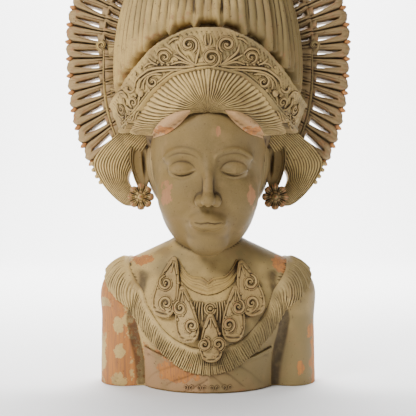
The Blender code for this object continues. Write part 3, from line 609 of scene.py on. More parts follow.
def make_side_hair(side):
    """Hair from under the diadem's end that sweeps out and hooks back to the ear stud."""
    strands = 15

    def place(u, v, y_shift):
        inner, outer = smooth_path(HAIR_LOBE_INNER, v), smooth_path(HAIR_LOBE_OUTER, v)
        q = inner + (outer - inner) * u[..., None]
        return head_point(side * q[..., 0], q[..., 1] + y_shift, q[..., 2])

    def front(u, v):
        comb = np.abs(np.sin(math.pi * (u * strands + 0.14 * wander(u * 3, v * 4, seed=4)))) ** 0.8
        swell = 7 * np.sin(math.pi * np.clip(u, 0.05, 0.95)) * (0.4 + 0.6 * np.clip(v * 3, 0, 1))
        return place(u, v, -swell - 2.6 * comb)

    def back(u, v):
        comb = np.abs(np.sin(math.pi * u * 9)) ** 0.7
        return place(u, v, 30 * (1 - 0.45 * v) + 1.5 * comb)

    made = [plate("lobe", strands * 6, 46, front, back)]
    for t in (0.33, 0.39, 0.45, 0.51):
        spot = smooth_path(HAIR_LOBE_OUTER, t)
        spot = head_point(side * (spot[0] + 0.8), spot[1] - 1, spot[2])
        made.append(bead(spot, 0.0029, (1, 1.3, 1)))
    return fuse(sided("side_hair", side), made)


def make_ear(side):
    """Long ear turned to the front: double rim, flat hollow, dark slot and plain lobe."""
    def place(turn, tilt):
        share = np.cos(tilt)
        across, up = share * np.cos(turn), share * np.sin(turn)
        wide = EAR_HALF[0] * (1 + 0.16 * up)
        x = EAR_MIDDLE[0] + wide * across + 3.5 * up
        z = EAR_MIDDLE[2] + EAR_HALF[1] * up
        outer_side = np.clip(0.35 + across + 0.5 * up, 0, 1)
        rim = (2.6 * bump(share - 0.90, 0.07) + 2.0 * bump(share - 0.72, 0.06)) * outer_side
        slot = 7.0 * bump(np.hypot((across + 0.42) / 0.15, (up - 0.05) / 0.40), 1)
        dish = 2.2 * bump(np.hypot(across / 0.5, (up - 0.1) / 0.6), 1)
        front_y = EAR_MIDDLE[1] - 2.5 - rim + slot + dish
        back_y = EAR_MIDDLE[1] + 14 * np.sqrt(np.clip(1 - share**2, 0, 1)) + 1
        return head_point(side * x, np.where(tilt > 0, front_y, back_y), z)

    return globe(sided("ear", side), 104, 88, place)


def make_stud(side):
    """Flower ear stud: eight petals, each with a raised edge, round a button."""
    middle = head_point(side * STUD_MIDDLE[0], STUD_MIDDLE[1], STUD_MIDDLE[2])

    def place(turn, tilt):
        share = np.cos(tilt)
        petal = np.abs(np.cos(4 * turn))
        out = STUD_RADIUS * share * (1 - 0.20 * (1 - petal) ** 1.5 * share)
        dome = 0.8 * bump(share, 0.24)
        dish = 0.28 * bump(share - 0.78, 0.2) * petal + 0.16 * bump(share - 0.36, 0.07)
        groove = -0.22 * (1 - petal) ** 4 * (share > 0.3) - 0.12 * bump(petal - 0.82, 0.09) * (share > 0.45)
        behind = -0.55 * np.sqrt(np.clip(1 - share**2, 0, 1))
        rise = np.where(tilt > 0, 0.15 + dome + dish + groove, behind)
        return middle + np.stack([out * np.cos(turn), -rise * STUD_THICKNESS, out * np.sin(turn)], axis=-1)

    return globe(sided("stud", side), 128, 72, place)


# Crown

def core_point(turn, height, lift):
    """Place over the front of the core, raised by lift."""
    up = np.clip((height - CORE_MIDDLE[2]) / CORE_HALF[2], -1, 1)
    wide = np.sqrt(1 - up**2)
    out = lift / HEAD_MM
    x = CORE_MIDDLE[0] + (CORE_HALF[0] * wide + out) * np.sin(turn)
    y = CORE_MIDDLE[1] - (CORE_HALF[1] * wide + out) * np.cos(turn)
    return head_point(x, y, height + out * up)


def make_core():
    """Plain dome under the leaves, flatter behind than in front."""
    def place(turn, tilt):
        wide = np.cos(tilt)
        deep = np.where(np.abs(turn) > math.pi / 2, CORE_BACK, CORE_HALF[1])
        fold = 1 + 0.010 * np.cos(turn * 34) * wide
        x = CORE_HALF[0] * wide * np.sin(turn) * fold
        y = CORE_MIDDLE[1] - deep * wide * np.cos(turn) * fold
        return head_point(x, y, CORE_MIDDLE[2] + CORE_HALF[2] * np.sin(tilt))

    return globe("crown_core", 160, 50, place)


def make_feathers(side):
    """Feather leaves hung side by side over the core: long folds, and points over the diadem."""
    top = CORE_MIDDLE[2] + CORE_HALF[2] * 0.97
    tips = np.array(LEAF_TIP_TURNS, float)
    stops = np.concatenate([[tips[0] - 16], tips, [tips[-1] + 14]])

    def lay(u, v, lift):
        degrees = 95 * u - 2
        turn = np.radians(degrees)
        edge = smooth_value(DIADEM_TOP, np.abs(CORE_HALF[0] * np.sin(turn))) + 11
        point = np.clip(1 - np.abs(degrees[:, None] - tips) / 3.4, 0, 1).max(axis=1) ** 1.4
        low = edge - 10 * point
        height = low + (top - low) * np.sin(v * math.pi / 2) ** 0.95
        return core_point(side * turn, height, lift)

    def front(u, v):
        degrees = 95 * u - 2 + 0.8 * wander(u * 5, v * 4, seed=11)
        i = np.clip(np.searchsorted(stops, degrees, side="right") - 1, 0, len(stops) - 2)
        share = np.clip((degrees - stops[i]) / (stops[i + 1] - stops[i]), 0, 1)
        overlap = 0.0050 * share**1.6
        fold = share * 3.4 + 0.3 * wander(v * 4, i * 1.0, seed=12)
        folds = 0.0024 * np.abs(np.cos(math.pi * fold)) ** 0.8
        edge = -0.0012 * np.clip(1 - v / 0.03, 0, 1)
        return lay(u, v, 0.0095 + (overlap + folds) * (1 - 0.45 * v) + edge)

    return plate(sided("feathers", side), 180, 44, front, lambda u, v: lay(u, v, -BURIED))


def fan_outline(turn):
    rise = np.sin(turn)
    gain = np.where(rise > 0, FAN_UPPER_GAIN * rise, FAN_LOWER_GAIN * rise**2)
    return FAN_RADIUS * (1 + gain)


def fan_point(turn, distance, y):
    middle = head_point(0, 0, FAN_MIDDLE_HEIGHT)
    x = middle[0] + distance * np.cos(turn)
    z = middle[2] + distance * np.sin(turn)
    return np.stack(np.broadcast_arrays(x, y, z), axis=-1)


def make_fan():
    """Both rows of loops with tapering slots, ridged bars and rounded ends."""
    bar = np.array((0, 0.022, 0.05, 0.085, 0.125, 0.165, 0.19, 0.21, 0.25))
    shares = np.concatenate([bar, [0.5], (1 - bar[::-1])[:-1]])
    per_loop = len(shares)
    columns = LOOP_COUNT * per_loop
    # The rows where the inner loops, the border, the slots and the round ends start, and the last row.
    marks = np.array((0, 11, 16, 29, 35))
    rows = int(marks[-1])

    def lay(u, v):
        loop, k = np.divmod(np.rint(u * columns).astype(int), per_loop)
        row, place = v * rows, shares[k]
        outline = fan_outline(FAN_LOWEST + FAN_PITCH * (loop + place))
        slot_end = outline - LOOP_END
        slot_start = slot_end - LOOP_LENGTH
        border = slot_start - LOOP_END
        stops = np.stack([border - INNER_LOOP_LENGTH, border, slot_start, slot_end, outline], axis=-1)
        band = np.clip(np.searchsorted(marks, row, side="right") - 1, 0, len(marks) - 2)
        share = (row - marks[band]) / np.diff(marks)[band]
        each = np.arange(len(band))
        distance = stops[each, band] + (stops[each, band + 1] - stops[each, band]) * share
        near = np.minimum(place, 1 - place)
        slot_share = np.clip((distance - slot_start) / LOOP_LENGTH, 0, 1)
        half = np.where(band < 1, 0.20, 0.25 - 0.19 * slot_share**1.2)
        moved = np.where(near <= 0.25, near * (0.5 - half) / 0.25, 0.5 - (0.5 - near) * half / 0.25)
        moved = np.where(place > 0.5, 1 - moved, moved)
        ending = np.clip((distance - slot_end) / LOOP_END, 0, 1)
        lobe = 0.0022 - 0.0085 * (np.abs(moved - 0.5) * 2) ** 2.6
        return FAN_LOWEST + FAN_PITCH * (loop + moved), distance + lobe * ending, near, ending, band < 1

    def front(u, v):
        turn, distance, near, ending, inner = lay(u, v)
        groove = 0.0050 * bump(near, 0.030)
        line = 0.0011 * bump(near - 0.20, 0.020) - 0.0009 * bump(near - 0.12, 0.05)
        drop = np.where(inner, groove * 0.6 + line, groove + line)
        past_edge = distance - fan_outline(turn)
        step = np.interp(past_edge, (-0.060, -0.049, -0.046, -0.030), (1, 1, 0.35, 0)) * INNER_STEP
        rim = 0.0025 * bump((past_edge + 0.049) / 0.0022, 1)
        uneven = 0.0008 * wander(turn * 9, distance * 40, seed=6)
        return fan_point(turn, distance, FAN_FRONT + drop - step - rim + 0.006 * ending**2 + uneven)

    def back(u, v):
        turn, distance, near, ending, _ = lay(u, v)
        y = FAN_FRONT + FAN_THICKNESS - 0.006 * ending**2 - 0.002 * bump(near, 0.04)
        return fan_point(turn, distance, y)

    def is_hole(u, v):
        loop, k = np.divmod((u * columns).astype(int), per_loop)
        row = v * rows
        turn = FAN_LOWEST + FAN_PITCH * (loop + 0.5)
        upper = (turn > INNER_TIER_LOWEST) & (turn < math.pi - INNER_TIER_LOWEST)
        inner = (row > 1) & (row < marks[1]) & upper
        outer = (row > marks[2]) & (row < marks[3])
        return ((k == 8) | (k == 9)) & (outer | inner)

    return plate("fan", columns, rows, front, back, is_hole)


def make_fan_beads():
    """Small pointed beads in the notches between the loops."""
    made = []
    for i in range(LOOP_COUNT + 1):
        turn = FAN_LOWEST + FAN_PITCH * i
        run, rise = math.cos(turn), math.sin(turn)
        middle = fan_point(turn, fan_outline(turn) - 0.0026, FAN_FRONT + 0.0065)
        axes = np.array(((-rise, 0, run), (0, 1, 0), (run, 0, rise)))

        def place(t, tilt):
            ways = globe_ways(t, tilt) * (0.0035, 0.0050, 0.0046)
            ways[:, 2] *= 1 + 0.35 * np.clip(np.sin(tilt), 0, 1) ** 3
            return middle + ways @ axes

        made.append(globe("bead", 12, 10, place))
    return fuse("fan_beads", made)


def make_side_leaf(side):
    """Veined leaf beside one end of the diadem, with a thin edge and a spiral at its foot."""
    first = FAN_LOWEST - math.radians(2)
    last = INNER_TIER_LOWEST + math.radians(1)

    def lay(u, v):
        turn = first + (last - first) * u
        border = fan_outline(turn) - 1.7 * LOOP_END - LOOP_LENGTH
        distance = border - SIDE_LEAF_WIDTH * (1 - v)
        turn = turn + math.radians(6) * (v - 0.5) * np.sin(math.pi * u)
        return np.where(side > 0, turn, math.pi - turn), distance

    def front(u, v):
        turn, distance = lay(u, v)
        swing = u * 12 - 2.0 * v**1.4 + 0.15 * wander(u * 8, v * 3, seed=13)
        fade = np.clip((0.86 - u) / 0.22, 0, 1) * np.clip((0.95 - v) * 2.0, 0, 1)
        vein = 0.0017 * bump(swing - np.floor(swing) - 0.5, 0.16) * fade
        ripple = 0.0006 * np.sin(2 * math.pi * swing) * fade
        dish = 0.0035 * np.sin(math.pi * v)
        rim = 0.0034 * bump(v, 0.045) + 0.0018 * bump(v - 1, 0.05)
        y = FAN_FRONT - 2 * INNER_STEP + INNER_STEP * v + vein + ripple + dish - rim
        return fan_point(turn, distance, y)

    def back(u, v):
        return fan_point(*lay(u, v), FAN_FRONT + FAN_THICKNESS - 0.5 * INNER_STEP)

    foot = fan_point(math.pi - 0.10 if side < 0 else 0.10, 0.135, FAN_FRONT - 0.010)

    def knot(x, y, lift):
        return foot + np.stack(np.broadcast_arrays(x * 0.001, -lift, y * 0.001), axis=-1)

    made = [plate("leaf", 150, 36, front, back)] + spiral(knot, 6.5, side, 3.0, turns=1.1, steps=26)
    return fuse(sided("side_leaf", side), made)


# Diadem

def diadem_edges(turn):
    """Heights of the diadem's lower and upper edge at a turn from the middle."""
    way = np.abs(np.sin(turn))
    low = smooth_value(DIADEM_LOW, way * DIADEM_HALF_LOW)
    return low, smooth_value(DIADEM_TOP, way * DIADEM_HALF_TOP)


def diadem_point(turn, share, lift):
    half = DIADEM_HALF_LOW + (DIADEM_HALF_TOP - DIADEM_HALF_LOW) * share + lift / HEAD_MM
    deep = DIADEM_FRONT_LOW + (DIADEM_FRONT_TOP - DIADEM_FRONT_LOW) * share + lift / HEAD_MM
    low, top = diadem_edges(turn)
    return head_point(half * np.sin(turn), -deep * np.cos(turn), low + (top - low) * share)


def diadem_place(side, along, height):
    """Maps small offsets round a spot of the diadem to points on it."""
    def place(x, y, lift):
        turn = side * (along + x) / DIADEM_MEAN
        low, top = diadem_edges(turn)
        return diadem_point(turn, (height + y - low) / (top - low), lift)

    return place


def make_diadem():
    """Crescent band with a double rope edge below and a lightly cut ground."""
    def lay(u, v, lift):
        return diadem_point((u - 0.5) * 2 * DIADEM_TURN, v, lift)

    def front(u, v):
        v = v**1.35
        turn = (u - 0.5) * 2 * DIADEM_TURN
        rope = 0.0030 * bump(v - 0.045, 0.030) + 0.0024 * bump(v - 0.125, 0.022)
        twist = 1 + 0.10 * np.sin(turn * 260 + v * 80)
        upper = 0.0016 * bump(v - 0.97, 0.03)
        ground = 0.0008 * wander(turn * 30, v * 12, seed=9) + 0.0004 * np.cos(turn * 130 + 26 * v)
        return lay(u, v, rope * twist + upper + ground * np.clip((v - 0.16) * 8, 0, 1))

    return plate("diadem", 360, 40, front, lambda u, v: lay(u, v**1.35, -DIADEM_THICKNESS))


def make_diadem_carving():
    """Scrolls, sprays, arcs, knobs and small leaves raised on the diadem."""
    def arc(side, points, half, steps=28, lift=0.0012):
        x, y = smooth_path(points, np.linspace(0, 1, steps)).T
        place = diadem_place(side, 0, 0)
        path = place(x, y, lift)
        taper = np.sin(math.pi * np.linspace(0.12, 0.92, steps)) ** 0.5
        return ridge(path, path - place(x, y, lift - 0.003), half * 0.00125 * taper)

    curls = (
        (20, 244.5, 9.6, -1, 3.8, 250), (47, 231.5, 7.2, 1, 3.2, -90), (65, 204, 7.4, -1, 3.2, 90),
        (95, 182.5, 6.6, 1, 3.0, -60), (119, 177, 6.2, -1, 2.9, 60), (107, 166, 4.4, 1, 2.2, 40),
        (128, 161, 4.6, 1, 2.3, 120),
    )
    arcs = (
        (((12, 219.5), (30, 219.3), (48, 219.6), (65, 219), (75, 214.5), (85, 207.5), (89, 199)), 1.25),
        (((12, 216.4), (30, 216.2), (46, 216.4), (58, 215.8), (69, 213.2), (79, 207), (83.5, 198)), 1.15),
        (((52, 212), (62, 213), (71, 210), (76.5, 203), (77, 196)), 1.1),
        (((14, 221.5), (24, 229), (31.5, 237), (33, 246)), 1.2),
        (((14, 221.5), (12, 230), (9.5, 239), (10, 248)), 1.2),
        (((16, 221.5), (20, 227), (23, 232)), 0.9), (((16, 221.5), (27, 227), (38, 234)), 1.1),
        (((17, 221), (30, 225), (42, 222.5)), 1.0), (((38, 234), (44, 240.5), (52, 240), (56, 234)), 1.1),
        (((56, 223), (62, 226), (66, 231)), 1.0), (((2, 243), (3, 250), (2, 257)), 1.0),
        (((30, 252), (36, 251), (42, 246)), 1.0), (((60, 226), (67, 225), (73, 221)), 1.0),
        (((88, 199), (94, 195), (99, 196), (101, 201)), 1.1),
        (((98, 174), (104, 175), (110, 181), (109, 189)), 1.0),
        (((96, 172), (101, 165), (109, 160)), 1.0), (((112, 170), (117, 163), (117, 156)), 1.0),
        (((124, 184), (129, 177), (131, 168)), 1.0), (((118, 168), (125, 168), (131, 173)), 0.9),
        (((103, 189), (108, 196), (116, 196)), 1.0), (((83, 190), (87, 184), (88, 176)), 1.0),
        (((120, 157), (126, 153), (132, 154)), 0.9), (((90, 172), (95, 168), (101, 160)), 0.8),
    )
    knobs = (
        (82, 192, 4.2), (71, 194.5, 2.4), (100, 200, 2.0), (58, 228, 1.7), (39, 226, 1.7), (55.5, 226, 1.6),
        (51, 223.5, 1.6), (44, 222.5, 1.6), (30, 256, 1.6), (84, 215, 1.6), (76, 222, 1.6), (112, 187, 1.8),
        (105, 171, 1.6), (122, 165, 1.7), (116, 160, 1.5), (90, 190, 1.8),
    )
    made = spiral(diadem_place(1, 3.5, 229.5), 10.8, 1, 4.0, turns=1.7, steps=54, start=-100)
    for side in (-1, 1):
        for along, height, radius, sense, thick, start in curls:
            made += spiral(diadem_place(side, along, height), radius, sense, thick, turns=1.4, start=start)
        for along, height, size in knobs:
            made.append(bead(spot_on(diadem_place(side, along, height), 0.001), size * 0.001))
        for points, half in arcs:
            made.append(arc(side, points, half))
    return fuse("diadem_carving", made)


# Collar, necklace and cloth

def make_collar():
    """Pleated collar: fine uneven pleats between a thin inner edge and a frayed outer one."""
    pleats = 216
    middle = body_point(0, 0, 92)

    def guide(u, v):
        side = np.where(u < 0.5, -1.0, 1.0)
        t = np.abs(u - 0.5) * 2
        outer, inner = smooth_path(COLLAR_OUTER, t), smooth_path(COLLAR_INNER, t)
        ragged = 0.022 * np.sin(np.floor(u * pleats) * 2.4) * (v > 0.99)
        q = inner + (outer - inner) * (v + ragged)[..., None]
        return body_point(side * q[..., 0], q[..., 1], q[..., 2])

    def front(u, v):
        wave = np.abs(np.sin(math.pi * (u * pleats + 0.30 * wander(u * 60, v * 2, seed=2)))) ** 0.7
        uneven = 0.75 + 0.25 * np.sin(np.floor(u * pleats) * 1.7)
        plain = 1 - 0.75 * bump((u - 0.515) / 0.006, 1) * bump((v - 0.45) / 0.4, 1)
        lift = 0.0018 + 0.0012 * v + 0.0029 * wave * uneven * plain * np.clip((v - 0.09) * 10, 0, 1)
        lift = lift + 0.0012 * bump(v - 0.035, 0.03)
        bare = onto(body_form, middle, guide(u, v), 0.0)
        return bare + skin_way(body_form, bare) * lift[..., None]

    def back(u, v):
        return onto(body_form, middle, guide(u, v), -BURIED)

    return plate("collar", pleats * 5, 14, front, back)


def on_body(x, z, lift):
    """Places on the front of the body at x and z in millimetres, raised by lift in metres."""
    return from_front(body_form, x * BODY_MM, z * BODY_MM, lift)


def body_place(across, up, base):
    """Maps small offsets round a spot of the body to points that stand base off it."""
    def place(x, y, lift):
        return on_body(across + x, up + y, base + lift)

    return place


def body_ridge(x, z, lift, lean, half):
    """A ridge along the front of the body, its outer side turned up by lean."""
    return ridge(on_body(x, z, lift), (0.0, -1.0, lean), half)


def make_necklace():
    """Band round the foot of the neck, with a raised upper edge, ring lines and fine threads."""
    def lay(u, v, lift):
        t = np.abs(u - 0.5) * 2
        q = smooth_path(BAND_LOWER, t)
        q = q + (smooth_path(BAND_UPPER, t) - q) * v[..., None]
        return on_body(np.where(u < 0.5, -1.0, 1.0) * q[..., 0], q[..., 1], lift)

    def front(u, v):
        t = np.abs(u - 0.5) * 2
        edge = 0.0022 * bump(v - 0.93, 0.055)
        rings = 0.0012 * (bump(v - 0.56, 0.05) + bump(v - 0.16, 0.05))
        threads = 0.0003 * np.cos(v * 75)
        return lay(u, v, 0.0012 + edge + rings + threads + 0.0004 * wander(t * 9, v * 5, seed=21))

    return plate("neck_band", 150, 30, front, lambda u, v: lay(u, v, -BURIED))


def make_gem():
    """Flat round gem of two rings and a bead under the neck band, between short drooping folds."""
    made = []
    angle = np.linspace(0, 2 * math.pi, 40)
    for radius, lift, half in ((6.4, 0.0022, 0.0012), (4.0, 0.0030, 0.0010)):
        made.append(body_ridge(2.6 + radius * np.cos(angle), 98 + radius * np.sin(angle), lift, 0.0, half))
    made.append(bead(spot_on(body_place(2.6, 98, 0.0), 0.003), 0.0024))
    for side in (-1, 1):
        for i in range(5):
            start = (2 + side * (8 + 3 * i), 106 + 0.5 * i)
            end = (2 + side * (8 + 4.2 * i), 84 - 4 * i)
            middle = ((start[0] + end[0]) / 2 + side, 96 - 2 * i)
            x, z = smooth_path((start, middle, end), np.linspace(0, 1, 16)).T
            made.append(body_ridge(x, z, 0.0016, 0.3, 0.0010))
    return fuse("gem", made)


def make_pendant(i):
    """Flat drop-shaped pendant: rope edge, two double spirals, short ridges, beads and a ribbed foot."""
    top_x, top_z, low_x, low_z, half = PENDANTS[i]
    drop = np.array((low_x - top_x, low_z - top_z), float)
    length = np.hypot(*drop)
    down = drop / length
    across = np.array((-down[1], down[0]))

    def flat(a, b):
        return top_x + down[0] * a + across[0] * b, top_z + down[1] * a + across[1] * b

    def outline(turn):
        a = length * (0.5 - 0.5 * np.cos(turn))
        return a, half * np.sign(np.sin(turn)) * np.abs(np.sin(turn)) ** 0.8 * (0.40 + 0.75 * a / length)

    def place(turn, tilt):
        share = np.cos(tilt)
        a, b = outline(turn)
        a = length * 0.6 + (a - length * 0.6) * share
        x, z = flat(a, b * share)
        upper = np.sin(tilt) > 0
        rise = np.where(upper, PENDANT_THICKNESS * (0.80 + 0.20 * (1 - share**8)), -0.004)
        rope = 0.0013 * bump(share - 0.93, 0.045) * (1 + 0.35 * np.cos(turn * 46))
        edge = rope - 0.0012 * bump(share - 0.82, 0.04)
        foot = np.clip((a / length - 0.80) / 0.08, 0, 1)
        uneven = 0.0004 * wander(a * 0.5, b * share * 0.5, seed=31 + i) * (1 - foot)
        ribs = 0.0007 * np.cos(a * 1.5) * foot + uneven
        return on_body(x, z, rise + (edge + ribs + 0.0016 * foot) * upper)

    made = [globe("drop", 120, 44, place)]
    for k, (x0, z0, radius, sense) in enumerate(PENDANT_SPIRALS[i]):
        spot = body_place(x0, z0, PENDANT_THICKNESS)
        made += spiral(spot, radius, sense, 3.9, turns=1.5, steps=40, start=90 + 180 * k, lift=0.0014)
    for t in (-0.7, 0.0, 0.7):
        x, z = flat(length * np.linspace(0.06, 0.28, 12), half * np.linspace(0.1, 0.62, 12) * t)
        made.append(body_ridge(x, z, PENDANT_THICKNESS + 0.0004, 0.2, 0.0011))
    for share, part in ((0.40, 0.66), (0.56, -0.62), (0.72, 0.62), (0.50, -0.2), (0.88, 0.15)):
        spot = body_place(*flat(length * share, half * part), PENDANT_THICKNESS)
        made.append(bead(spot_on(spot, 0.0004), 0.0016, segments=10, rings=6))
    return fuse(f"pendant_{i}", made)


def make_chest_cloth():
    """Cloth wrapped under the collar, with folds and a row of small spirals along its foot."""
    half_width, foot = 76, 1.5

    def lay(u, v, lift):
        x = (u - 0.5) * 2 * half_width
        top = 34 + 16 * (x / half_width) ** 2
        return on_body(x, foot + (top - foot) * v, lift)

    def front(u, v):
        x = (u - 0.5) * 2
        fold = 0.0011 * np.abs(np.sin(9 * x + 5 * v * np.sign(x) + wander(u * 6, v * 3, seed=1)))
        hem = 0.0016 * bump(v - 0.97, 0.05)
        return lay(u, v, 0.0016 + fold + hem)

    made = [plate("cloth", 180, 24, front, lambda u, v: lay(u, v, -BURIED))]
    for i, x in enumerate(np.linspace(-26, 26, 8)):
        spot = body_place(x, 7.5, 0.0022)
        made += spiral(spot, 3.4, (-1) ** i, 1.5, turns=1.1, steps=20, lift=0.0010, twin=False)
    return fuse("chest_cloth", made)


# Finish

RELIEF_SPAN = 0.0016


def note_relief(piece, wide):
    """Marks every point by how far it stands above (over 0.5) or below its surroundings."""
    mesh = piece.data
    places = get_places(mesh)
    edges = np.empty(len(mesh.edges) * 2, int)
    mesh.edges.foreach_get("vertices", edges)
    a, b = edges.reshape(-1, 2).T
    count = len(places)
    links = np.maximum(np.bincount(a, minlength=count) + np.bincount(b, minlength=count), 1)
    length = np.median(np.linalg.norm(places[a] - places[b], axis=-1))
    smooth = places.copy()
    for _ in range(int(np.clip((wide / length) ** 2 * 1.5, 3, 40))):
        sums = [np.bincount(a, smooth[b, k], count) + np.bincount(b, smooth[a, k], count) for k in range(3)]
        smooth = 0.5 * smooth + 0.5 * np.stack(sums, axis=-1) / links[:, None]
    rise = ((places - smooth) * get_places(mesh, "normal")).sum(axis=-1)
    mark_points(mesh, "relief", np.clip(0.5 + rise / RELIEF_SPAN, 0, 1))


def mark_points(mesh, name, values):
    found = mesh.attributes.new(name, "FLOAT", "POINT")
    found.data.foreach_set("value", values.astype(np.float32))


def note_occlusion_shade(pieces, near=0.011, clear=0.0002):
    """Marks every point by how closely other surfaces stand over it, for settled dirt and for painted shade
    in recesses.
    """
    corners, faces, start = [], [], 0
    for piece in pieces:
        mesh = piece.data
        places = get_places(mesh)
        mesh.calc_loop_triangles()
        found = np.empty(len(mesh.loop_triangles) * 3, int)
        mesh.loop_triangles.foreach_get("vertices", found)
        corners.append(places)
        faces.append(found.reshape(-1, 3) + start)
        start += len(places)
    tree = BVHTree.FromPolygons(np.concatenate(corners).tolist(), np.concatenate(faces).tolist())
    for piece, places in zip(pieces, corners):
        normals = get_places(piece.data, "normal")
        helper = np.where(np.abs(normals[:, 2:]) > 0.8, (1.0, 0.0, 0.0), (0.0, 0.0, 1.0))
        first = unit(np.cross(normals, helper))
        second = np.cross(normals, first)
        hidden = np.zeros(len(places))
        ways = [normals]
        for k in range(4):
            angle = math.pi / 2 * k + 0.4
            ways.append(0.55 * normals + 0.83 * (math.cos(angle) * first + math.sin(angle) * second))
        for way in ways:
            starts = (places + normals * clear + way * clear).tolist()
            for i, (spot, direction) in enumerate(zip(starts, way.tolist())):
                far = tree.ray_cast(spot, direction, near)[3]
                if far is not None:
                    hidden[i] += 1 - far / near
        mark_points(piece.data, "occlusion_shade", hidden / len(ways))


class Wiring:
    """Shorthand for adding and linking shader nodes in one tree."""

    def __init__(self, tree):
        self.tree = tree

    def add(self, kind, inputs=None, **values):
        """A new node, its properties given by name and its inputs by place or label."""
        node = self.tree.nodes.new(kind)
        for key, value in values.items():
            setattr(node, key, value)
        for key, value in (inputs or {}).items():
            self.put(node.inputs[key], value)
        return node

    def put(self, socket, value):
        if isinstance(value, bpy.types.NodeSocket):
            self.tree.links.new(value, socket)
        else:
            socket.default_value = value

    def math(self, operation, a, b=0.0, clamp=False):
        return self.add("ShaderNodeMath", {0: a, 1: b}, operation=operation, use_clamp=clamp).outputs[0]

    def vector(self, operation, *values):
        return self.add("ShaderNodeVectorMath", dict(enumerate(values)), operation=operation).outputs

    def ramp(self, value, low, high, start=0.0, end=1.0):
        inputs = dict(enumerate((value, low, high, start, end)))
        return self.add("ShaderNodeMapRange", inputs, interpolation_type="SMOOTHSTEP").outputs[0]

    def mix(self, share, a, b):
        return self.add("ShaderNodeMix", {0: share, 6: a, 7: b}, data_type="RGBA").outputs[2]

    def noise(self, place, scale, detail=4.0, rough=0.6):
        inputs = {"Vector": place, "Scale": scale, "Detail": detail, "Roughness": rough}
        return self.add("ShaderNodeTexNoise", inputs).outputs[0]


def new_group(name, inputs, outputs):
    """An empty node group with its wiring, what it is given and what it gives back."""
    tree = bpy.data.node_groups.new(name, "ShaderNodeTree")
    for way, sockets in (("INPUT", inputs), ("OUTPUT", outputs)):
        for label, kind in sockets:
            tree.interface.new_socket(name=label, in_out=way, socket_type=f"NodeSocket{kind}")
    wires = Wiring(tree)
    return tree, wires, wires.add("NodeGroupInput").outputs, wires.add("NodeGroupOutput").inputs


FADED = (0.27, 0.17, 0.07, 1)
STAIN = (0.26, 0.165, 0.065, 1)
# Near-black brown for hollows and recesses: partly dirt, partly painted shade where less light reaches.
DIRT_AND_SHADE = (0.040, 0.023, 0.010, 1)
SPECK = (0.10, 0.055, 0.022, 1)


def worn_paint_group():
    """Old paint over carved wood: tint drift that also darkens the right side as painted shade, worn crests,
    dirt and painted shade in hollows, grain where bare.
    """
    tree, w, given, result = new_group(
        "worn_paint",
        (
            ("Place", "Vector"), ("Relief", "Float"), ("Occlusion shade", "Float"), ("Bare", "Float"),
            ("Paint", "Color"), ("Paint drift and side shade", "Color"), ("Wood", "Color"), ("Primer", "Color"),
            ("Wear", "Float"), ("Dirt and shade", "Float"),
        ),
        (("Color", "Color"), ("Roughness", "Float"), ("Height", "Float")),
    )
    place = given["Place"]
    across = w.add("ShaderNodeSeparateXYZ", {0: place}).outputs[0]
    broad = w.noise(place, 13.0, 3.0)
    middling = w.noise(place, 34.0, 6.0, 0.62)
    ragged = w.noise(place, 85.0, 8.0, 0.68)
    fine = w.noise(place, 620.0, 4.0, 0.6)
    along_grain = w.add("ShaderNodeMapping", {"Vector": place, "Scale": (1.0, 1.0, 0.07)}).outputs[0]
    grain = w.noise(along_grain, 380.0, 5.0, 0.65)
    # Broad noise gives random tint drift. The x term also shifts the right side toward the darker drift
    # colour as painted shade from the key light on the left, together with patina.
    drift_and_side_shade = w.ramp(w.math("ADD", broad, w.math("MULTIPLY", across, 1.5)), 0.36, 0.66)
    paint = w.mix(drift_and_side_shade, given["Paint"], given["Paint drift and side shade"])
    paint = w.mix(w.ramp(fine, 0.30, 0.75, 0.0, 0.30), paint, FADED)
    paint = w.mix(w.ramp(middling, 0.50, 0.68, 0.0, 0.60), paint, STAIN)
    wood = w.mix(w.ramp(grain, 0.35, 0.70), given["Wood"], given["Primer"])
    crest = w.ramp(given["Relief"], 0.58, 0.95)
    want = w.math("ADD", w.math("MULTIPLY", crest, given["Wear"]), given["Bare"])
    want = w.math("ADD", want, w.math("MULTIPLY", w.math("SUBTRACT", ragged, 0.5), 0.9))
    worn = w.ramp(want, 0.42, 0.50)
    fringe = w.math("SUBTRACT", w.ramp(want, 0.34, 0.43), worn, clamp=True)
    colour = w.mix(worn, paint, wood)
    colour = w.mix(w.math("MULTIPLY", fringe, 0.55), colour, given["Primer"])
    # Grooves in the relief and occluded recesses are darkened: settled dirt and painted shade together.
    hollow = w.math("MULTIPLY", w.ramp(given["Relief"], 0.51, 0.18), 0.92)
    hollow = w.math("MAXIMUM", hollow, w.ramp(given["Occlusion shade"], 0.08, 0.50))
    dirt_and_shade = w.math("MULTIPLY", hollow, w.ramp(ragged, 0.20, 0.62, 0.60, 1.0))
    dirt_and_shade = w.math("MULTIPLY", dirt_and_shade, given["Dirt and shade"], clamp=True)
    colour = w.mix(dirt_and_shade, colour, DIRT_AND_SHADE)
    speck = w.ramp(w.noise(place, 300.0, 2.0), 0.65, 0.73, 0.0, 0.7)
    colour = w.mix(speck, colour, SPECK)
    w.put(result["Color"], colour)
    w.put(result["Roughness"], w.ramp(w.math("ADD", worn, fine), 0.4, 1.6, 0.62, 0.80))
    height = w.math("SUBTRACT", w.math("MULTIPLY", fine, 0.25), w.math("MULTIPLY", worn, 0.7))
    height = w.math("ADD", height, w.math("MULTIPLY", grain, 0.5))
    w.put(result["Height"], height)
    return tree


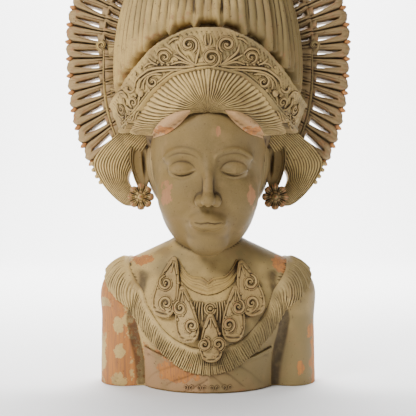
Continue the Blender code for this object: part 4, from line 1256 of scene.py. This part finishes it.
def worn_spot_group():
    """Ragged oval spot round a middle, 1 inside and 0 outside."""
    tree, w, given, result = new_group(
        "worn_spot", (("Place", "Vector"), ("Middle", "Vector"), ("Size", "Vector")), (("Mask", "Float"),)
    )
    away = w.vector("SUBTRACT", given["Place"], given["Middle"])[0]
    far = w.vector("LENGTH", w.vector("DIVIDE", away, given["Size"])[0])["Value"]
    edge = w.math("MULTIPLY", w.math("SUBTRACT", w.noise(given["Place"], 75.0, 7.0, 0.68), 0.5), 3.0)
    w.put(result["Mask"], w.ramp(w.math("ADD", far, edge), 1.10, 0.94))
    return tree


WORN, SPOT = worn_paint_group(), worn_spot_group()
PAINT = (0.52, 0.355, 0.125, 1)
# Darker drift colour: random tint drift, and painted shade on the right side.
OLIVE_DRIFT_AND_SIDE_SHADE = (0.215, 0.155, 0.060, 1)
ORANGE_WOOD = (0.49, 0.195, 0.048, 1)
BROWN_WOOD = (0.30, 0.135, 0.060, 1)


def painted(
    name, wear, dirt_and_shade, paint=PAINT, drift_and_side_shade=OLIVE_DRIFT_AND_SIDE_SHADE, bare_spots=(), kept_spots=(), depth=0.0006, wood=ORANGE_WOOD
):
    """A material of worn paint, with spots laid bare and spots of paint kept inside them."""
    material = bpy.data.materials.new(name)
    material.use_nodes = True
    w = Wiring(material.node_tree)
    place = w.add("ShaderNodeTexCoord").outputs["Object"]

    def spots(wanted):
        total = 0.0
        for middle, size in wanted:
            inputs = {"Place": place, "Middle": np.array(middle) / 1000, "Size": np.array(size) / 1000}
            mask = w.add("ShaderNodeGroup", inputs, node_tree=SPOT).outputs["Mask"]
            total = w.math("MAXIMUM", total, mask)
        return total

    inputs = {
        "Place": place, "Bare": w.math("SUBTRACT", spots(bare_spots), spots(kept_spots), clamp=True),
        "Relief": w.add("ShaderNodeAttribute", attribute_name="relief").outputs["Fac"],
        "Occlusion shade": w.add("ShaderNodeAttribute", attribute_name="occlusion_shade").outputs["Fac"],
        "Paint": paint, "Paint drift and side shade": drift_and_side_shade, "Wood": wood, "Primer": BROWN_WOOD, "Wear": wear, "Dirt and shade": dirt_and_shade,
    }
    worn = w.add("ShaderNodeGroup", inputs, node_tree=WORN).outputs
    bumped = w.add("ShaderNodeBump", {"Strength": 0.5, "Distance": depth, "Height": worn["Height"]})
    shader = material.node_tree.nodes["Principled BSDF"]
    w.put(shader.inputs["Base Color"], worn["Color"])
    w.put(shader.inputs["Roughness"], worn["Roughness"])
    w.put(shader.inputs["Normal"], bumped.outputs["Normal"])
    w.put(shader.inputs["Specular IOR Level"], 0.28)
    return material


# Spots laid bare, and spots of paint kept inside them: middle and half size in millimetres.
BODY_BARE = (
    ((-125, -10, 70), (30, 60, 75)), ((-112, -30, 30), (28, 50, 60)), ((-70, -75, 42), (14, 20, 18)),
    ((134, -5, 20), (9, 40, 60)), ((88, -20, 146), (10, 24, 11)), ((-78, -10, 150), (16, 22, 6)),
    ((104, -10, 128), (8, 18, 12)), ((122, -14, 64), (6, 14, 8)), ((112, -40, 22), (5, 10, 8)),
    ((-40, 60, 90), (34, 40, 40)), ((52, 50, 40), (30, 40, 26)),
)
BODY_KEPT = (
    ((-108, -38, 74), (6, 20, 10)), ((-107, -40, 42), (6, 20, 9)), ((-107, -42, 8), (9, 20, 9)),
    ((-129, -14, 40), (5, 24, 26)), ((-92, -60, 20), (8, 20, 22)), ((-122, -14, 100), (9, 24, 8)),
)
FACE_BARE = (((-50, -80, 232), (8, 16, 16)), ((52, -78, 226), (5, 16, 15)), ((12, -90, 304), (3, 12, 7)))
LOCK_BARE = (((-50, -60, 308), (14, 20, 6)), ((50, -60, 308), (14, 20, 6)))
CLOTH_BARE = (((-40, -80, 25), (26, 25, 14)),)


# Putting it together

torso_paint = painted("torso_paint", 0.18, 0.9, bare_spots=BODY_BARE, kept_spots=BODY_KEPT, depth=0.0005)
face_paint = painted(
    "face_paint", 0.10, 0.8, paint=(0.21, 0.138, 0.045, 1), drift_and_side_shade=(0.155, 0.105, 0.036, 1),
    bare_spots=FACE_BARE, depth=0.0004, wood=(0.36, 0.18, 0.08, 1),
)
hair_paint = painted("hair_paint", 0.24, 0.9, paint=(0.64, 0.44, 0.165, 1), drift_and_side_shade=(0.42, 0.295, 0.11, 1))
crown_paint = painted("crown_paint", 0.30, 1.0)
# Darker hair paint for the hair behind the head. It also stands in as painted shade in the gap between ear
# and face.
back_hair_shade_paint = painted("back_hair_shade_paint", 0.2, 1.0, paint=(0.34, 0.235, 0.105, 1))
fan_paint = painted("fan_paint", 0.34, 1.0, paint=(0.36, 0.24, 0.105, 1), drift_and_side_shade=(0.24, 0.16, 0.07, 1))
# Near-black paint for the crown core, seen only between the leaf points and the diadem: painted shade in
# that gap.
core_shade_paint = painted("core_shade_paint", 0.0, 1.0, paint=(0.17, 0.11, 0.05, 1), drift_and_side_shade=(0.12, 0.08, 0.035, 1))
lock_paint = painted(
    "lock_paint", 0.12, 0.8, paint=(0.50, 0.29, 0.13, 1), drift_and_side_shade=(0.42, 0.24, 0.10, 1), depth=0.0004,
    bare_spots=LOCK_BARE,
)
bead_paint = painted("bead_paint", 0.85, 0.8, paint=(0.44, 0.27, 0.11, 1))
collar_paint = painted("collar_paint", 0.16, 1.0, paint=(0.60, 0.42, 0.165, 1))
jewel_paint = painted("jewel_paint", 0.36, 1.0, paint=(0.46, 0.31, 0.12, 1), drift_and_side_shade=(0.31, 0.205, 0.075, 1))
band_paint = painted("band_paint", 0.30, 1.0, paint=(0.50, 0.33, 0.105, 1), drift_and_side_shade=(0.36, 0.24, 0.075, 1))
stud_paint = painted("stud_paint", 0.95, 1.0, wood=(0.36, 0.16, 0.070, 1))
cloth_paint = painted("cloth_paint", 0.3, 1.0, paint=(0.40, 0.23, 0.105, 1), bare_spots=CLOTH_BARE)

# Each piece with its material and the width in metres over which its relief is smoothed away.
head, combed = make_head(), make_front_hair()
made = [
    (make_torso(), torso_paint, 0.006), (head, face_paint, 0.003), (make_back_hair(), back_hair_shade_paint, 0.003),
    (combed, hair_paint, 0.003),
]
for hand in (-1, 1):
    made += [
        (make_temple_lock(hand, (head, combed)), lock_paint, 0.003),
        (make_side_hair(hand), hair_paint, 0.004), (make_ear(hand), face_paint, 0.003),
        (make_stud(hand), stud_paint, 0.002),
        (make_feathers(hand), crown_paint, 0.004), (make_side_leaf(hand), crown_paint, 0.003),
    ]
# The crown core takes the near-black painted-shade paint.
made += [
    (make_core(), core_shade_paint, 0.004), (make_fan(), fan_paint, 0.004), (make_fan_beads(), bead_paint, 0.003),
    (make_diadem(), crown_paint, 0.002), (make_diadem_carving(), jewel_paint, 0.001),
    (make_collar(), collar_paint, 0.002), (make_necklace(), band_paint, 0.002),
    (make_gem(), jewel_paint, 0.001),
]
made += [(make_pendant(index), jewel_paint, 0.002) for index in range(len(PENDANTS))]
made.append((make_chest_cloth(), cloth_paint, 0.003))

# Occlusion from nearby carving, used for the dirt and painted shade laid in recesses.
note_occlusion_shade([piece for piece, _, _ in made])
for piece, material, wide in made:
    note_relief(piece, wide)
    piece.data.materials.clear()
    piece.data.materials.append(material)
    piece.data.shade_smooth()
    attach(piece, "root")
    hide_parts("bust")


def make_floor():
    """Pale floor that sweeps up far behind the bust."""
    bpy.ops.object.select_all(action="DESELECT")
    bpy.ops.mesh.primitive_grid_add(x_subdivisions=2, y_subdivisions=60, size=1)
    floor = take_active("floor")
    bend_start, bend_length, radius = 2.6, 1.4, 0.9
    flat = get_places(floor.data) + 0.5
    along = flat[:, 1] * 9.0 - 3.0
    bend = np.clip((along - bend_start) / bend_length, 0, 1) * math.pi / 2
    y = np.minimum(along, bend_start + radius * np.sin(bend))
    z = radius * (1 - np.cos(bend)) + np.maximum(along - bend_start - bend_length, 0)
    set_places(floor.data, np.stack([(flat[:, 0] - 0.5) * 10, y, z - 0.0003], axis=-1))
    floor.data.shade_smooth()
    material = bpy.data.materials.new("pale_floor")
    material.use_nodes = True
    shader = material.node_tree.nodes["Principled BSDF"]
    shader.inputs["Base Color"].default_value = (0.90, 0.90, 0.90, 1)
    shader.inputs["Roughness"].default_value = 0.9
    floor.data.materials.append(material)


def make_lights():
    world = bpy.data.worlds.new("studio")
    world.use_nodes = True
    world.node_tree.nodes["Background"].inputs["Color"].default_value = (1, 1, 1, 1)
    world.node_tree.nodes["Background"].inputs["Strength"].default_value = 0.28
    bpy.context.scene.world = world
    for name, spot, target, size, power in (
        ("key", (-1.1, -1.5, 1.5), (0, 0, 0.3), 0.7, 52), ("fill", (1.5, -1.6, 0.7), (0, 0, 0.3), 1.2, 4),
        ("top", (0, 0.6, 1.9), (0, 0, 0.3), 0.8, 12), ("backdrop", (0, 1.2, 2.6), (0, 3.4, 0.7), 2.0, 560),
    ):
        bpy.ops.object.light_add(type="AREA", location=spot)
        light = bpy.context.object
        light.name = name
        light.data.size = size
        light.data.energy = power
        aim = np.array(target) - np.array(spot)
        from_up = math.atan2(math.hypot(aim[0], aim[1]), -aim[2])
        light.rotation_euler = (from_up, 0, math.atan2(-aim[0], aim[1]))


def make_camera():
    bpy.ops.object.camera_add(location=(0, -1.100, 0.215), rotation=(math.pi / 2, 0, 0))
    camera = bpy.context.object
    camera.data.lens = 76.15
    camera.data.sensor_width = 36
    bpy.context.scene.camera = camera


make_floor()
make_lights()
make_camera()
